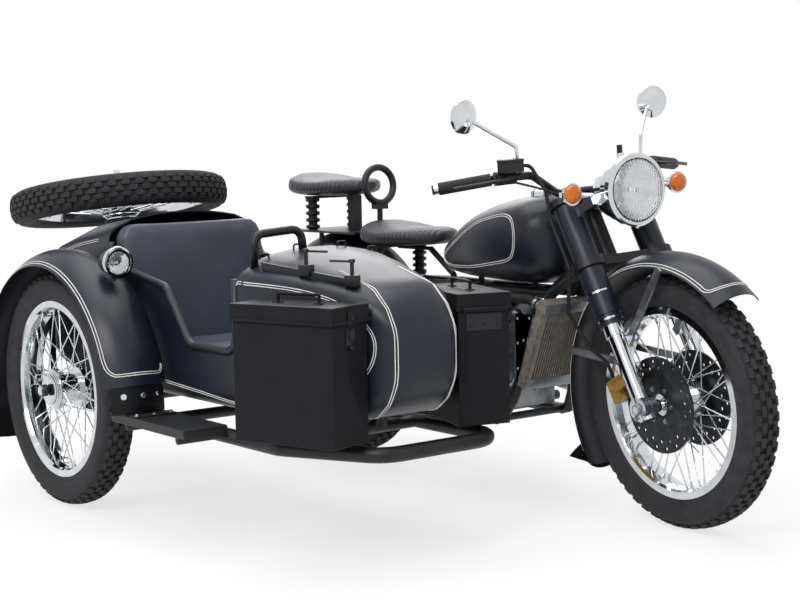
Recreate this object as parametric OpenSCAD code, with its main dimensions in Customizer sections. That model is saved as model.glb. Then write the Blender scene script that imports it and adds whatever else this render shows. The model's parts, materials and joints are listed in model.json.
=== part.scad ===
// Sidecar motorcycle: a three-wheeled outfit with a steered fork, a sidecar on the right,
// two hinged boxes beside the sidecar nose and a spare wheel on its tail.
// Bike axes: X forward from mid wheelbase, Y left from the bike's middle plane, Z up from the ground.

/* [Wheels] */
// Distance between the front and rear axles
wheelbase = 1470; // [1440:5:1500]
// Outer radius of a tyre, to the tips of its tread
tyre_r = 338; // [334:1:342]
// Width of a tyre's section
tyre_w = 98; // [94:1:102]
// Outer radius of a rim's flange
rim_r = 255; // [253:1:257]
// Width of a rim over its flanges
rim_w = 72; // [70:1:74]
// Radius of the spokes
spoke_r = 1.9; // [1.6:0.1:2.2]
// Number of spokes in each of a wheel's four rows
spokes_per_row = 10; // [8:1:10]
// Radius of the axles
axle_r = 10; // [9:0.5:11]
// Radius of the brake discs
disc_r = 128; // [122:1:132]

/* [Steering] */
// Angle of the fork behind the vertical
rake = 29; // [28:0.5:30]
// Distance of the fork legs ahead of the steering axis
fork_offset = 55; // [52:1:58]
// Distance of a fork leg from the middle plane
fork_y = 118; // [117:1:121]
// Turn of the steering to the right in the stored pose
steer_pose = 7; // [0:1:10]
// Radius of the fork shrouds
shroud_r = 36; // [34:0.5:36.5]
// Radius of the lower fork legs
leg_r = 23; // [21:0.5:25]
// Half of the span of the handlebar
bar_half = 415; // [400:5:425]
// Radius of the handlebar tube
bar_r = 11; // [10:0.5:12]
// Radius of the headlamp's lens
headlamp_r = 90; // [84:1:94]
// Radius of a mirror head
mirror_r = 46; // [42:1:50]

/* [Bodywork] */
// Half of the width of the front and rear mudguards
guard_half = 76; // [72:1:77]
// Gap between a tyre and the crown of its mudguard
guard_gap = 60; // [56:1:64]
// Thickness of sheet metal
sheet = 3; // [2.5:0.5:4]
// Half of the width of the fuel tank
tank_half = 148; // [140:1:152]
// Half of the width of the saddles
saddle_half = 140; // [132:1:145]
// Height of the pillion saddle above the rider's saddle
pillion_rise = 150; // [145:1:155]
// Radius of the main frame's tubes
frame_r = 16; // [14:0.5:17]

/* [Sidecar] */
// Distance between the sidecar's wheel and the bike's middle plane
track = 1082; // [1076:1:1090]
// Distance of the sidecar's wheel behind mid wheelbase
sidecar_axle_back = 647; // [635:1:655]
// Distance of the tub's middle from the bike's middle plane
tub_y = 730; // [728:1:732]
// Half of the width of the tub
tub_half = 250; // [246:1:251]
// Height of the tub's floor above the ground
floor_z = 345; // [342:1:350]
// Radius of the tub's rounded nose
nose_r = 165; // [160:1:168]
// Thickness of the tub's wall
tub_wall = 4; // [3:0.5:5]
// Half of the width of the sidecar's mudguard
side_guard_half = 95; // [90:1:97]
// Radius of the sidecar chassis tubes
chassis_r = 20; // [18:0.5:21]
// Tilt of the spare wheel, rear edge down
spare_tilt = 9; // [8:0.5:10]

/* [Boxes] */
// Length of a box
box_l = 300; // [290:1:304]
// Width of a box
box_w = 140; // [134:1:144]
// Height of a box with its lid
box_h = 336; // [330:1:342]
// Height of a box lid
lid_h = 44; // [38:1:50]
// Thickness of a box's wall
box_wall = 3; // [2.5:0.5:4]

/* [Hidden] */
$fn = 48;
// Gap between pieces that touch
fit = 0.3;
// Clearance of a wheel beside what carries it
run_gap = 5.5;
FRONT_AXLE_LIFT = fork_offset * sin(rake) * (1 - cos(steer_pose))
    - (tyre_r - tyre_w / 2) * (1 - sqrt(1 - pow(sin(steer_pose) * sin(rake), 2)));
front_axle = [wheelbase / 2, 0, tyre_r + FRONT_AXLE_LIFT];
rear_axle = [-wheelbase / 2, 0, tyre_r];
side_axle = [-sidecar_axle_back, -track, tyre_r];
guard_r = tyre_r + guard_gap;
bead_r = rim_r - 13.7;
hub_flange_r = 58;
hub_flange_y = 36;
hub_half = 61;
disc_y = hub_half + fit;
disc_t = 5;
guard_sag = 36;
tub_c = -tub_y;

// Places along the fork, measured up a leg from the front axle
shroud_low = 236;
lower_yoke = 402;
upper_yoke = 590;
yoke_t = 26;
stem_r = 14;
head_r = 29;
head_low = lower_yoke + yoke_t + 6;
head_high = upper_yoke - 6;

// Box placing: yaw follows the taper of the tub's nose
nose_taper = 18;
box_gap = 15;
box_z = 314;
box_c = [408, 255];

// Spare wheel centre, measured from the tub's middle plane
spare_c = [-950, 0, 862];

// Middle of the handlebar, and the end of a grip: x and z of the middle
bar_seat = from_fork([-70.1, upper_yoke + 73.5]);
grip_end = [bar_seat.x - 70, bar_half, bar_seat.y + 42];

// Extents that set the middle of the outfit
front_reach = front_axle.x + (tyre_r - tyre_w / 2) * cos(steer_pose) + tyre_w / 2;
rear_reach = spare_c.x - (tyre_r - tyre_w / 2) * cos(spare_tilt) - tyre_w / 2;
left_reach = bar_half * cos(steer_pose) + 78 * sin(steer_pose) * cos(rake) + 18;
right_reach = -track - side_guard_half;
middle = [(front_reach + rear_reach) / 2, (left_reach + right_reach) / 2, 0];

// Frames of the assembly

// Moves bike axes so that the outfit's middle is the origin
module placed() {
    translate(-middle) children();
}

// Turns what steers into the stored pose
module steered() {
    placed() fork_frame() translate([-fork_offset, 0, 0]) rotate([0, 0, -steer_pose])
        translate([fork_offset, 0, 0]) rotate([0, rake, 0]) translate(-front_axle) children();
}

// Fork axes: Z up a leg from the front axle, X square to it and forward
module fork_frame() {
    translate(front_axle) rotate([0, -rake, 0]) children();
}

module both_sides() {
    children();
    mirror([0, 1, 0]) children();
}

// Box axes: origin at the middle of the bottom, X along its length to the front, Y to the tub
module box_frame(side) {
    translate([box_c.x, tub_c, box_z]) scale([1, side, 1]) translate([0, -box_c.y, 0])
        rotate([0, 0, nose_taper]) children();
}

// Spare wheel axes: Z along its stud
module spare_frame() {
    translate([spare_c.x, tub_c + spare_c.y, spare_c.z]) rotate([0, -spare_tilt, 0]) children();
}

// General shapes

// Round bar from a to b
module bar(a, b, r) {
    d = b - a;
    translate(a) rotate([0, acos(d.z / norm(d)), atan2(d.y, d.x)]) cylinder(r = r, h = norm(d));
}

function unit(v) = v / norm(v);

// Round bars through the points p, with a ball at each corner
module bar_run(p, r) {
    for (i = [0 : len(p) - 2])
        bar(p[i], p[i + 1], r);
    for (i = [1 : len(p) - 2])
        translate(p[i]) sphere(r = r * 1.03);
}

// Corner i of a path as an arc of one radius
function bend_arc(p, i, bend, steps) =
    let (
        d = unit(p[i] - p[i - 1]),
        e = unit(p[i + 1] - p[i]),
        turn = acos(d * e),
        side = unit(e - d * (d * e)),
        start = p[i] - d * bend * tan(turn / 2)
    )
    [for (k = [0 : steps]) let (a = turn * k / steps) start + bend * (d * sin(a) + side * (1 - cos(a)))];

function bent_path(p, bend, steps) = concat(
    [p[0]],
    [for (i = [1 : len(p) - 2]) each bend_arc(p, i, bend, steps)],
    [p[len(p) - 1]]
);

// Round tube through the points p, with bends of one radius at its corners
module pipe(p, r, bend, sides = 12, steps = 4) {
    q = bent_path(p, bend, steps);
    last = len(q) - 1;
    dirs = [for (i = [0 : last]) unit(q[min(i + 1, last)] - q[max(i - 1, 0)])];
    first = unit(cross(dirs[0], abs(dirs[0].z) < 0.9 ? [0, 0, 1] : [1, 0, 0]));
    across = [
        for (
            i = 0, n = first;
            i <= last;
            i = i + 1, n = i <= last ? unit(n - dirs[i] * (n * dirs[i])) : n
        ) n
    ];
    loft([
        for (i = [0 : last])
            [for (k = [0 : sides - 1])
                let (a = 360 * k / sides)
                q[i] + r * (across[i] * cos(a) + cross(dirs[i], across[i]) * sin(a))]
    ]);
}

// Skin over closed rings of points, all of the same count
module loft(rings) {
    n = len(rings[0]);
    last = len(rings) - 1;
    polyhedron(
        points = [for (ring = rings) each ring],
        faces = concat(
            [[for (i = [0 : n - 1]) i]],
            [for (k = [0 : last - 1]) for (i = [0 : n - 1])
                each [
                    [k * n + i, (k + 1) * n + i, k * n + (i + 1) % n],
                    [k * n + (i + 1) % n, (k + 1) * n + i, (k + 1) * n + (i + 1) % n]
                ]],
            [[for (i = [n - 1 : -1 : 0]) last * n + i]]
        ),
        convexity = 6
    );
}

// Joins what it holds into one mesh
module as_mesh() {
    resize([0, 0, 0]) children();
}

// Row of a table at a fraction between rows, by a smooth curve through them
function table_at(t, u) =
    let (
        i = min(floor(u), len(t) - 2),
        f = u - i,
        a = t[max(i - 1, 0)],
        b = t[i],
        c = t[i + 1],
        d = t[min(i + 2, len(t) - 1)]
    )
    b + f / 2 * ((c - a) + f * (2 * a - 5 * b + 4 * c - d + f * (3 * (b - c) + d - a)));

function signed_pow(v, k) = sign(v) * pow(abs(v), k);

// Rounded section at x: half-width, bottom and top heights, and roundness
function pillow(x, half, low, high, square, count) = [
    for (i = [0 : count - 1])
        let (a = 360 * i / count)
        [x, half * signed_pow(cos(a), 2 / square),
            (low + high) / 2 + (high - low) / 2 * signed_pow(sin(a), 2 / square)]
];

// Solid through the rows of a table of [x, half-width, bottom, top]
module pillow_loft(rows, square, count, steps) {
    n = (len(rows) - 1) * steps;
    loft([for (k = [0 : n]) let (r = table_at(rows, k / steps)) pillow(r[0], r[1], r[2], r[3], square, count)]);
}

// Section of an arched sheet across a mudguard, its crown at radius r
module arch_section(r, half, sag, t) {
    big = (half * half + sag * sag) / (2 * sag);
    translate([r - big, 0]) difference() {
        intersection() {
            circle(r = big, $fn = 96);
            translate([big - sag, -half]) square([sag, 2 * half]);
        }
        circle(r = big - t, $fn = 96);
    }
}

// Arched sheet about the Y axis at the origin, from one angle to another above +X
module mudguard_arc(r, half, sag, a0, a1) {
    rotate([90, 0, 0]) rotate([0, 0, a0]) rotate_extrude(angle = a1 - a0)
        arch_section(r, half, sag, sheet);
}

// Turned shape about the X axis from a profile of [x, radius]
module turned_x(profile) {
    rotate([0, 90, 0]) rotate_extrude() polygon([for (p = profile) [p.y, p.x]]);
}

// Wheels

// Tyre with its axis along Y
module tyre() {
    side_r = (rim_r + tyre_r) / 2 + 6;
    shoulder = tyre_r - 14;
    rotate([90, 0, 0]) rotate_extrude($fn = 128) polygon([
        [bead_r + fit, -rim_w / 2 + 5.5 + fit],
        [rim_r + 1, -rim_w / 2 + 5.5 + fit],
        [rim_r + 2, -rim_w / 2 - 1],
        [rim_r + 14, -tyre_w / 2 + 5],
        [side_r - 6, -tyre_w / 2],
        [side_r + 12, -tyre_w / 2 + 1],
        [shoulder, -tyre_w / 2 + 9],
        [tyre_r - 5, -tyre_w / 2 + 20],
        [tyre_r - 1, -tyre_w / 2 + 34],
        [tyre_r, 0],
        [tyre_r - 1, tyre_w / 2 - 34],
        [tyre_r - 5, tyre_w / 2 - 20],
        [shoulder, tyre_w / 2 - 9],
        [side_r + 12, tyre_w / 2 - 1],
        [side_r - 6, tyre_w / 2],
        [rim_r + 14, tyre_w / 2 - 5],
        [rim_r + 2, rim_w / 2 + 1],
        [rim_r + 1, rim_w / 2 - 5.5 - fit],
        [bead_r + fit, rim_w / 2 - 5.5 - fit]
    ]);
}

// Rim, hub and crossed wire spokes with their axis along Y
module wire_wheel() {
    rim_in = bead_r - 15;
    half = rim_w / 2;
    cross_angle = 42;
    // rim channel
    rotate([90, 0, 0]) rotate_extrude($fn = 128) polygon([
        [rim_in, -10],
        [rim_in + 5, -half + 8],
        [bead_r - 5, -half],
        [rim_r, -half],
        [rim_r, -half + 5.5],
        [bead_r, -half + 5.5],
        [bead_r, -half + 16],
        [rim_in + 6, -half + 24],
        [rim_in + 6, half - 24],
        [bead_r, half - 16],
        [bead_r, half - 5.5],
        [rim_r, half - 5.5],
        [rim_r, half],
        [bead_r - 5, half],
        [rim_in + 5, half - 8],
        [rim_in, 10]
    ]);
    // hub with its flanges
    rotate([90, 0, 0]) difference() {
        union() {
            cylinder(r = 40, h = 2 * hub_half, center = true);
            for (s = [-1, 1])
                translate([0, 0, s * hub_flange_y]) cylinder(r = hub_flange_r, h = 16, center = true);
        }
        cylinder(r = axle_r + fit, h = 2 * hub_half + 2, center = true);
    }
    // rows: side, direction of the crossing, distance out on the flange
    for (row = [[-1, -1, 4], [-1, 1, -4], [1, 1, 4], [1, -1, -4]])
        for (i = [0 : spokes_per_row - 1]) {
            turn = 360 / spokes_per_row * (i + (row[1] > 0 ? 0.5 : 0) + (row[0] > 0 ? 0.25 : 0));
            a0 = turn;
            a1 = turn + row[1] * cross_angle;
            hub_at = hub_flange_r - 5;
            rim_at = rim_in + 3;
            y0 = row[0] * (hub_flange_y + row[2]);
            y1 = row[0] * (7 + row[2] / 2);
            bar([hub_at * cos(a0), y0, hub_at * sin(a0)], [rim_at * cos(a1), y1, rim_at * sin(a1)], spoke_r);
        }
}

// Brake disc on the +Y end of a hub, with two rings of holes
module brake_disc() {
    rotate([-90, 0, 0]) translate([0, 0, disc_y]) difference() {
        cylinder(r = disc_r, h = disc_t);
        translate([0, 0, -1]) cylinder(r = 30, h = disc_t + 2);
        for (ring = [[disc_r - 12, 0], [disc_r - 30, 10]])
            for (i = [0 : 17])
                rotate([0, 0, 20 * i + ring[1]]) translate([ring[0], 0, -1])
                    cylinder(r = 5, h = disc_t + 2, $fn = 24);
    }
}

module front_tyre() { color("#1c1c1e") steered() translate(front_axle) tyre(); }
module front_wheel() { color("#c9ccd0") steered() translate(front_axle) wire_wheel(); }
module brake_discs() { color("#3a3c40") steered() translate(front_axle) both_sides() brake_disc(); }
module rear_tyre() { color("#1c1c1e") placed() translate(rear_axle) tyre(); }
module rear_wheel() { color("#c9ccd0") placed() translate(rear_axle) wire_wheel(); }
module sidecar_tyre() { color("#1c1c1e") placed() translate(side_axle) tyre(); }
module sidecar_wheel() { color("#c9ccd0") placed() translate(side_axle) wire_wheel(); }
module spare_tyre() { color("#1c1c1e") placed() spare_frame() rotate([90, 0, 0]) tyre(); }
module spare_wheel() { color("#c9ccd0") placed() spare_frame() rotate([90, 0, 0]) wire_wheel(); }

// Steering

// Places in the bike's middle plane, to fork axes and back: x and z
function in_fork(p) =
    let (d = [p.x - front_axle.x, p.y - front_axle.z])
    [d.x * cos(rake) + d.y * sin(rake), d.y * cos(rake) - d.x * sin(rake)];

function from_fork(p) =
    [front_axle.x + p.x * cos(rake) - p.y * sin(rake), front_axle.z + p.x * sin(rake) + p.y * cos(rake)];

riser_y = 42;
riser_r = 13;

// Plate between the fork tubes, bored for the shrouds or closed over them
module yoke(s, t, bored) {
    difference() {
        union() {
            translate([-fork_offset, 0, s]) cylinder(r = 34, h = t);
            translate([-fork_offset, -30, s]) cube([fork_offset + 20, 60, t]);
            translate([-24, -fork_y, s]) cube([48, 2 * fork_y, t]);
            both_sides() translate([0, fork_y, s]) cylinder(r = shroud_r + 10, h = t);
        }
        if (bored)
            both_sides() translate([0, fork_y, s - 1]) cylinder(r = shroud_r + fit, h = t + 2);
    }
}

// Two yokes, the stem that turns in the frame's head and the risers of the handlebar
module fork_yokes() {
    seat = in_fork(bar_seat);
    color("#23272d") steered() fork_frame() {
        yoke(lower_yoke, yoke_t, true);
        yoke(upper_yoke, 18, false);
        translate([-fork_offset, 0, lower_yoke + 10]) cylinder(r = stem_r, h = upper_yoke - lower_yoke);
        both_sides() translate([seat.x, riser_y, upper_yoke])
            cylinder(r = riser_r, h = seat.y - bar_r - fit - upper_yoke);
    }
}

// Covers over the upper fork tubes
module fork_shrouds() {
    color("#1b2027") steered() fork_frame() both_sides() translate([0, fork_y, 0]) {
        translate([0, 0, shroud_low]) cylinder(r = shroud_r - 3, h = 40);
        translate([0, 0, shroud_low + 30]) cylinder(r = shroud_r, h = upper_yoke - shroud_low - 30 - fit);
    }
}

// Places of the stays' lugs up a leg
stay_lugs = [190, 112];

// Lower legs with the axle across them and the lugs of the mudguard's stays
module fork_legs() {
    color("#b9bdc2") steered() fork_frame() {
        both_sides() {
            translate([0, fork_y, -34]) cylinder(r = leg_r, h = 34 + shroud_low - fit);
            translate([0, fork_y, shroud_low - 30]) cylinder(r = leg_r + 5, h = 30 - fit);
            translate([0, fork_y, 0]) rotate([90, 0, 0]) cylinder(r = 32, h = 44, center = true);
            for (s = stay_lugs)
                translate([-9, guard_half + 8, s - 9]) cube([18, fork_y - guard_half - 8, 18]);
        }
        rotate([90, 0, 0]) {
            cylinder(r = axle_r, h = 2 * fork_y + 60, center = true);
            for (s = [-1, 1])
                translate([0, 0, s * (fork_y + hub_half + disc_t + run_gap) / 2])
                    cylinder(r = 17, h = fork_y - hub_half - disc_t - run_gap, center = true);
        }
    }
}

// Flat bar across from a to b in the XZ plane, standing t thick from y
module flat_bar(a, b, y, t, w) {
    d = b - a;
    translate([a.x, y, a.y]) rotate([0, -atan2(d.y, d.x), 0]) translate([0, 0, -w / 2]) cube([norm(d), t, w]);
}

function guard_edge(a) = [(guard_r - guard_sag) * cos(a), (guard_r - guard_sag) * sin(a)];
function leg_at(s) = [-s * sin(rake), s * cos(rake)];

module mudguard_stays() {
    y = guard_half + fit;
    color("#8d9197") steered() translate(front_axle) both_sides()
        for (stay = [[stay_lugs[0], 84], [stay_lugs[1], 162]])
            flat_bar(leg_at(stay[0]), guard_edge(stay[1]) * 1.01, y, 8 - 2 * fit, 20);
}

module front_mudguard() {
    color("#1b2027") steered() translate(front_axle)
        mudguard_arc(guard_r, guard_half, guard_sag, 50, 214);
}

// Calipers that straddle the discs behind the legs
module brake_calipers() {
    color("#b08a3c") steered() fork_frame() both_sides() difference() {
        union() {
            translate([-140, disc_y - 13, 62]) cube([58, fork_y - leg_r - disc_y + 11, 62]);
            translate([-90, fork_y - leg_r - 10, 80]) cube([90, leg_r + 10, 20]);
        }
        rotate([-90, 0, 0]) translate([0, 0, disc_y - run_gap])
            cylinder(r = disc_r + run_gap, h = disc_t + 2 * run_gap);
        translate([0, fork_y, 0]) cylinder(r = leg_r + fit, h = 200);
    }
}

// Hose from the brake's reservoir, past the right shroud, to the right caliper
module brake_hose() {
    y = -fork_y - shroud_r - 16;
    start = in_fork([clamp_at.x + 30, clamp_at.z + bar_r + 19]);
    color("#161616") steered() fork_frame()
        pipe([
            [start.x, 34 + fit - clamp_at.y, start.y],
            [start.x, -188, start.y],
            [8, y, 640],
            [-16, y, 560],
            [-16, y, 420],
            [-88, y, 320],
            [-104, -132, 220],
            [-108, -89.4, 170],
            [-108, -89.4, 124 + fit]
        ], 5, 18, 8);
}

// Handlebar

bar_path = [
    [bar_seat.x, 70, bar_seat.y],
    [bar_seat.x + 32, 180, bar_seat.y + 61],
    [bar_seat.x, 288, bar_seat.y + 58]
];
bar_inner = bar_path[2];
bar_dir = unit(grip_end - bar_inner);

module handlebar() {
    color("#22262b") steered()
        pipe(concat([for (i = [2, 1, 0]) [bar_path[i].x, -bar_path[i].y, bar_path[i].z]], bar_path), bar_r, 40);
}

module grips() {
    color("#171717") steered() both_sides() {
        bar(bar_inner + bar_dir * 3.2, grip_end, bar_r + 6);
        bar(grip_end - bar_dir * 4, grip_end + bar_dir * 18, bar_r + 2);
    }
}

// Levers with their clamps, and the brake's reservoir on the right
clamp_dir = unit(bar_path[2] - bar_path[1]);
clamp_at = bar_inner - clamp_dir * 34;

module hand_levers() {
    color("#8f9398") steered() {
        both_sides() {
            difference() {
                bar(clamp_at, clamp_at + clamp_dir * 26, bar_r + 8);
                bar(clamp_at - clamp_dir * 30, clamp_at + clamp_dir * 60, bar_r + fit);
            }
            hinge = clamp_at + clamp_dir * 12 + [16, 0, 0];
            bar_run([hinge, hinge + [34, 8, -2], hinge + [20, 60, -6], hinge + [-30, 142, -16]], 5);
        }
        translate([clamp_at.x + 4, -clamp_at.y - 22, clamp_at.z + bar_r + 4]) cube([44, 56, 30]);
    }
}

mirror_c = [bar_seat.x - 52, 330, bar_seat.y + 229];

// Round mirrors on bent stems
module mirrors() {
    foot = bar_path[1] + (bar_inner - bar_path[1]) * 0.3;
    color("#c4c8cc") steered() both_sides() {
        translate(mirror_c) rotate([0, 4, -12]) turned_x([[-8, 0], [-8, mirror_r], [2, mirror_r], [14, 26], [18, 0]]);
        bar_run([
            foot + [0, 0, bar_r + fit + 0.2],
            foot + [0, 6, 80],
            mirror_c + [8, -30, -20],
            mirror_c + [6, 0, 0]
        ], 5);
        translate(foot + [0, 0, bar_r + fit + 0.2]) cylinder(r = 9, h = 16);
    }
}

// Headlamp shell with its ears, and the cups of the two indicators
lamp_seat = from_fork([138, upper_yoke - 31.6]);
lamp_c = [lamp_seat.x, 0, lamp_seat.y];
flasher_c = lamp_c + [-29, 182, 4];
flasher_r = 30;

module headlamp() {
    color("#c6cacd") steered() {
        translate(lamp_c) turned_x([
            [-118, 0], [-112, 34], [-92, 58], [-60, 78], [-24, 89], [4, 94],
            [6, headlamp_r + 8], [22, headlamp_r + 8], [26, headlamp_r + 3],
            [26, headlamp_r - 4], [4, headlamp_r - 6], [4, 0]
        ]);
        both_sides() {
            bar([lamp_c.x - 46, 70, lamp_c.z - 14], [flasher_c.x - 20, flasher_c.y, flasher_c.z], 8);
            translate(flasher_c) turned_x([
                [-42, 0], [-36, 12], [-16, flasher_r - 4], [0, flasher_r], [8, flasher_r],
                [8, flasher_r - 4], [-2, flasher_r - 5], [-2, 0]
            ]);
            // ear from the shroud round to the shell
            fork_frame() translate([shroud_r + fit, fork_y - 5, upper_yoke - 50]) {
                cube([114 - shroud_r - fit, 10, 26]);
                translate([104 - shroud_r - fit, -44, 0]) cube([10, 48, 26]);
            }
        }
    }
}

module headlamp_lens() {
    color("#dfe6ea", 0.6) steered() translate(lamp_c) turned_x([
        [4 + fit, 0], [4 + fit, headlamp_r - 6 - fit], [26 - fit, headlamp_r - 4 - fit - 0.3],
        [32, headlamp_r - 10], [42, 58], [46, 30], [47, 0]
    ]);
}

module indicator_lenses() {
    color("#e08a1e") steered() both_sides() translate(flasher_c) turned_x([
        [-2 + fit, 0], [-2 + fit, flasher_r - 5 - fit - 0.2], [8, flasher_r - 4 - fit - 0.2],
        [18, flasher_r - 8], [24, 10], [25, 0]
    ]);
}

// Motorcycle

// Tubes of the frame: columns are the points on the left side and the radius
frame_tubes = [
    [[[front_axle.x - 299, 18, 722], [285, 45, 596], [-215, 58, 596], [-330, 92, 590], [-wheelbase / 2, 130, 574]], 0.88],
    [[[front_axle.x - 289, 18, 702], [310, 60, 600], [205, 118, 290], [176, 130, 240], [150, 130, 232], [-380, 130, 232],
        [-560, 130, 296], [-wheelbase / 2, 130, 228]], 1],
    [[[-215, 58, 590], [-330, 128, 240]], 0.75]
];
// Tubes across the frame: x, z and half-length
cross_tubes = [[150, 232, 124], [-360, 232, 124], [-190, 596, 56], [-60, 596, 52], [180, 596, 46]];

module main_frame() {
    color("#1b2027") placed() difference() {
        union() {
            fork_frame() translate([-fork_offset, 0, head_low]) cylinder(r = head_r, h = head_high - head_low);
            both_sides() {
                for (t = frame_tubes)
                    bar_run(t[0], frame_r * t[1]);
                for (z = [232, 554])
                    translate([-wheelbase / 2, 130, z]) cylinder(r = 30, h = 24);
                // post under the carrier
                bar([-wheelbase / 2, 108, 566], [-wheelbase / 2, 108, carrier_z - fit], 8);
                // footrest
                bar([-70, 130, 228], [-70, 318, 228], 9);
                bar([-70, 238, 228], [-70, 316, 228], 15);
            }
            for (t = cross_tubes)
                bar([t[0], -t[2], t[1]], [t[0], t[2], t[1]], frame_r * 0.7);
            // pads under the tank
            for (row = [tank_rows[2], tank_rows[4]])
                translate([row[0], 0, 596]) cylinder(r = 9, h = row[2] - 596 - 2 * fit);
        }
        fork_frame() translate([-fork_offset, 0, head_low - 100])
            cylinder(r = stem_r + fit, h = head_high - head_low + 200);
    }
}

// Upright water-cooled twin with its gearbox: one block of plain forms
engine_front = 138;

module engine() {
    color("#8b8f93") placed() {
        translate([-150, -110, 252]) cube([engine_front + 150, 220, 150]);
        translate([-385, -78, 268]) cube([250, 156, 120]);
        translate([engine_front - 168, -98, 396]) cube([160, 196, 118]);
        translate([engine_front - 174, -104, 510]) cube([172, 208, 44]);
        translate([engine_front - 160, -84, 552]) cube([140, 168, 20]);
        rotate([90, 0, 0]) translate([-20, 330, -124]) cylinder(r = 74, h = 248);
        rotate([90, 0, 0]) translate([-270, 328, -80]) cylinder(r = 56, h = 160);
        // feet on the frame
        translate([-60, -134, 232 + frame_r + fit]) cube([40, 268, 24]);
        // sump fins
        for (i = [0 : 6])
            translate([-120 + 36 * i, -80, 240]) cube([8, 160, 16]);
        // inlets
        for (s = [-1, 1])
            translate([engine_front - 240, s * 52, 532]) rotate([0, 90, 0]) cylinder(r = 20, h = 80);
    }
}

// Radiator axes: origin at the middle of its lower front edge, Z up its lean
radiator_lean = atan2(94, 247);
radiator_x = 271;
radiator_h = 265;
radiator_half = 130;
radiator_t = 34;

module radiator_frame() {
    translate([radiator_x, 0, 328]) rotate([0, radiator_lean, 0]) children();
}

module radiator() {
    fins = 25;
    pitch = 2 * (radiator_half - 12) / fins;
    color("#4b4f54") placed() radiator_frame() {
        difference() {
            translate([-radiator_t, -radiator_half, 0]) cube([radiator_t, 2 * radiator_half, radiator_h]);
            for (i = [0 : fins - 1])
                translate([-7, -radiator_half + 12 + pitch * (i + 0.5) - 3, 34]) cube([10, 6, radiator_h - 66]);
        }
        both_sides() translate([-radiator_t + 2, radiator_half - 1, 20]) cube([radiator_t - 8, 5, radiator_h - 40]);
        // filler neck
        translate([-radiator_t / 2, 70, radiator_h - 1]) cylinder(r = 17, h = 22);
        // hose stubs
        for (stub = [[-112, radiator_h - 24], [0, 18]])
            translate([-radiator_t - 14, stub.x, stub.y]) rotate([0, 90, 0]) cylinder(r = 14, h = 20);
    }
}

// Hoses between the radiator and the engine
module coolant_hoses() {
    c = cos(radiator_lean);
    s = sin(radiator_lean);
    out = radiator_t + 14 + fit;
    top = [radiator_x - out * c + (radiator_h - 24) * s, -112, 328 + out * s + (radiator_h - 24) * c];
    low = [radiator_x - out * c + 18 * s, 0, 328 + out * s + 18 * c];
    color("#141414") placed() {
        pipe([top, top + [-40 * c, 0, 40 * s], [190, -130, 586], [engine_front - 28, -150, 560],
            [engine_front - 60, -150, 532], [engine_front - 60, -104 - fit, 532]], 15, 14);
        pipe([low, low + [-30 * c, 0, 30 * s], [engine_front + 32, 0, 318], [engine_front + fit, 0, 318]], 15, 10);
    }
}

// Two header pipes with a silencer along each side
silencer_at = [-230, 216, 330];

module exhaust() {
    color("#b7babd") placed() both_sides() {
        pipe([
            [engine_front - 2 + fit, 58, 530],
            [engine_front + 46, 58, 530],
            [engine_front + 46, 72, 330],
            [engine_front + 10, 190, 290],
            [-120, 214, 318],
            silencer_at + [fit, 0, 0]
        ], 19, 34);
        translate(silencer_at) rotate([0, 0, 180]) turned_x([
            [0, 0], [0, 24], [70, 43], [560, 43], [600, 30], [640, 26], [640, 20], [600, 20], [600, 0]
        ]);
    }
}

// Rows of the tank: x, half-width, bottom and top heights
tank_rows = [
    [-185, 36, 648, 690],
    [-160, 62, 638, 728],
    [-60, 0.66 * tank_half, 626, 792],
    [50, 0.88 * tank_half, 622, 836],
    [180, tank_half, 620, 866],
    [276, 0.96 * tank_half, 626, 870],
    [328, 0.7 * tank_half, 657, 840],
    [350, 0.5 * tank_half, 700, 792]
];

module fuel_tank() {
    color("#1b2027") placed() {
        pillow_loft(tank_rows, 2.7, 36, 3);
        translate([214, 0, 862]) cylinder(r = 34, h = 26);
    }
}

// Rows of a saddle: x from the rider's saddle, half-width, bottom and top heights
saddle_rows = [
    [-212, 22, 730, 750],
    [-232, 0.36 * saddle_half, 718, 760],
    [-300, 0.76 * saddle_half, 708, 764],
    [-400, saddle_half, 704, 762],
    [-490, 0.95 * saddle_half, 706, 774],
    [-526, 0.62 * saddle_half, 716, 780],
    [-532, 0.45 * saddle_half, 728, 778]
];
pillion_back = -rear_axle.x - 340;

module saddle_top() {
    pillow_loft(saddle_rows, 3, 28, 3);
}

module rider_saddle() { color("#2b2d30") placed() saddle_top(); }
module pillion_saddle() { color("#2b2d30") placed() translate([-pillion_back, 0, pillion_rise]) saddle_top(); }

// Column of coils from z0 to z1
module coil_spring(z0, z1, coils) {
    pitch = (z1 - z0) / coils;
    translate([0, 0, z0]) cylinder(r = 15, h = z1 - z0);
    for (i = [0 : coils - 1])
        translate([0, 0, z0 + pitch * (i + 0.5)]) rotate_extrude() translate([17, 0])
            circle(r = pitch * 0.3, $fn = 24);
}

// Springs and brackets under both saddles, with the flat carrier on the rear mudguard
carrier_z = rear_axle.z + guard_r + fit;

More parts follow.
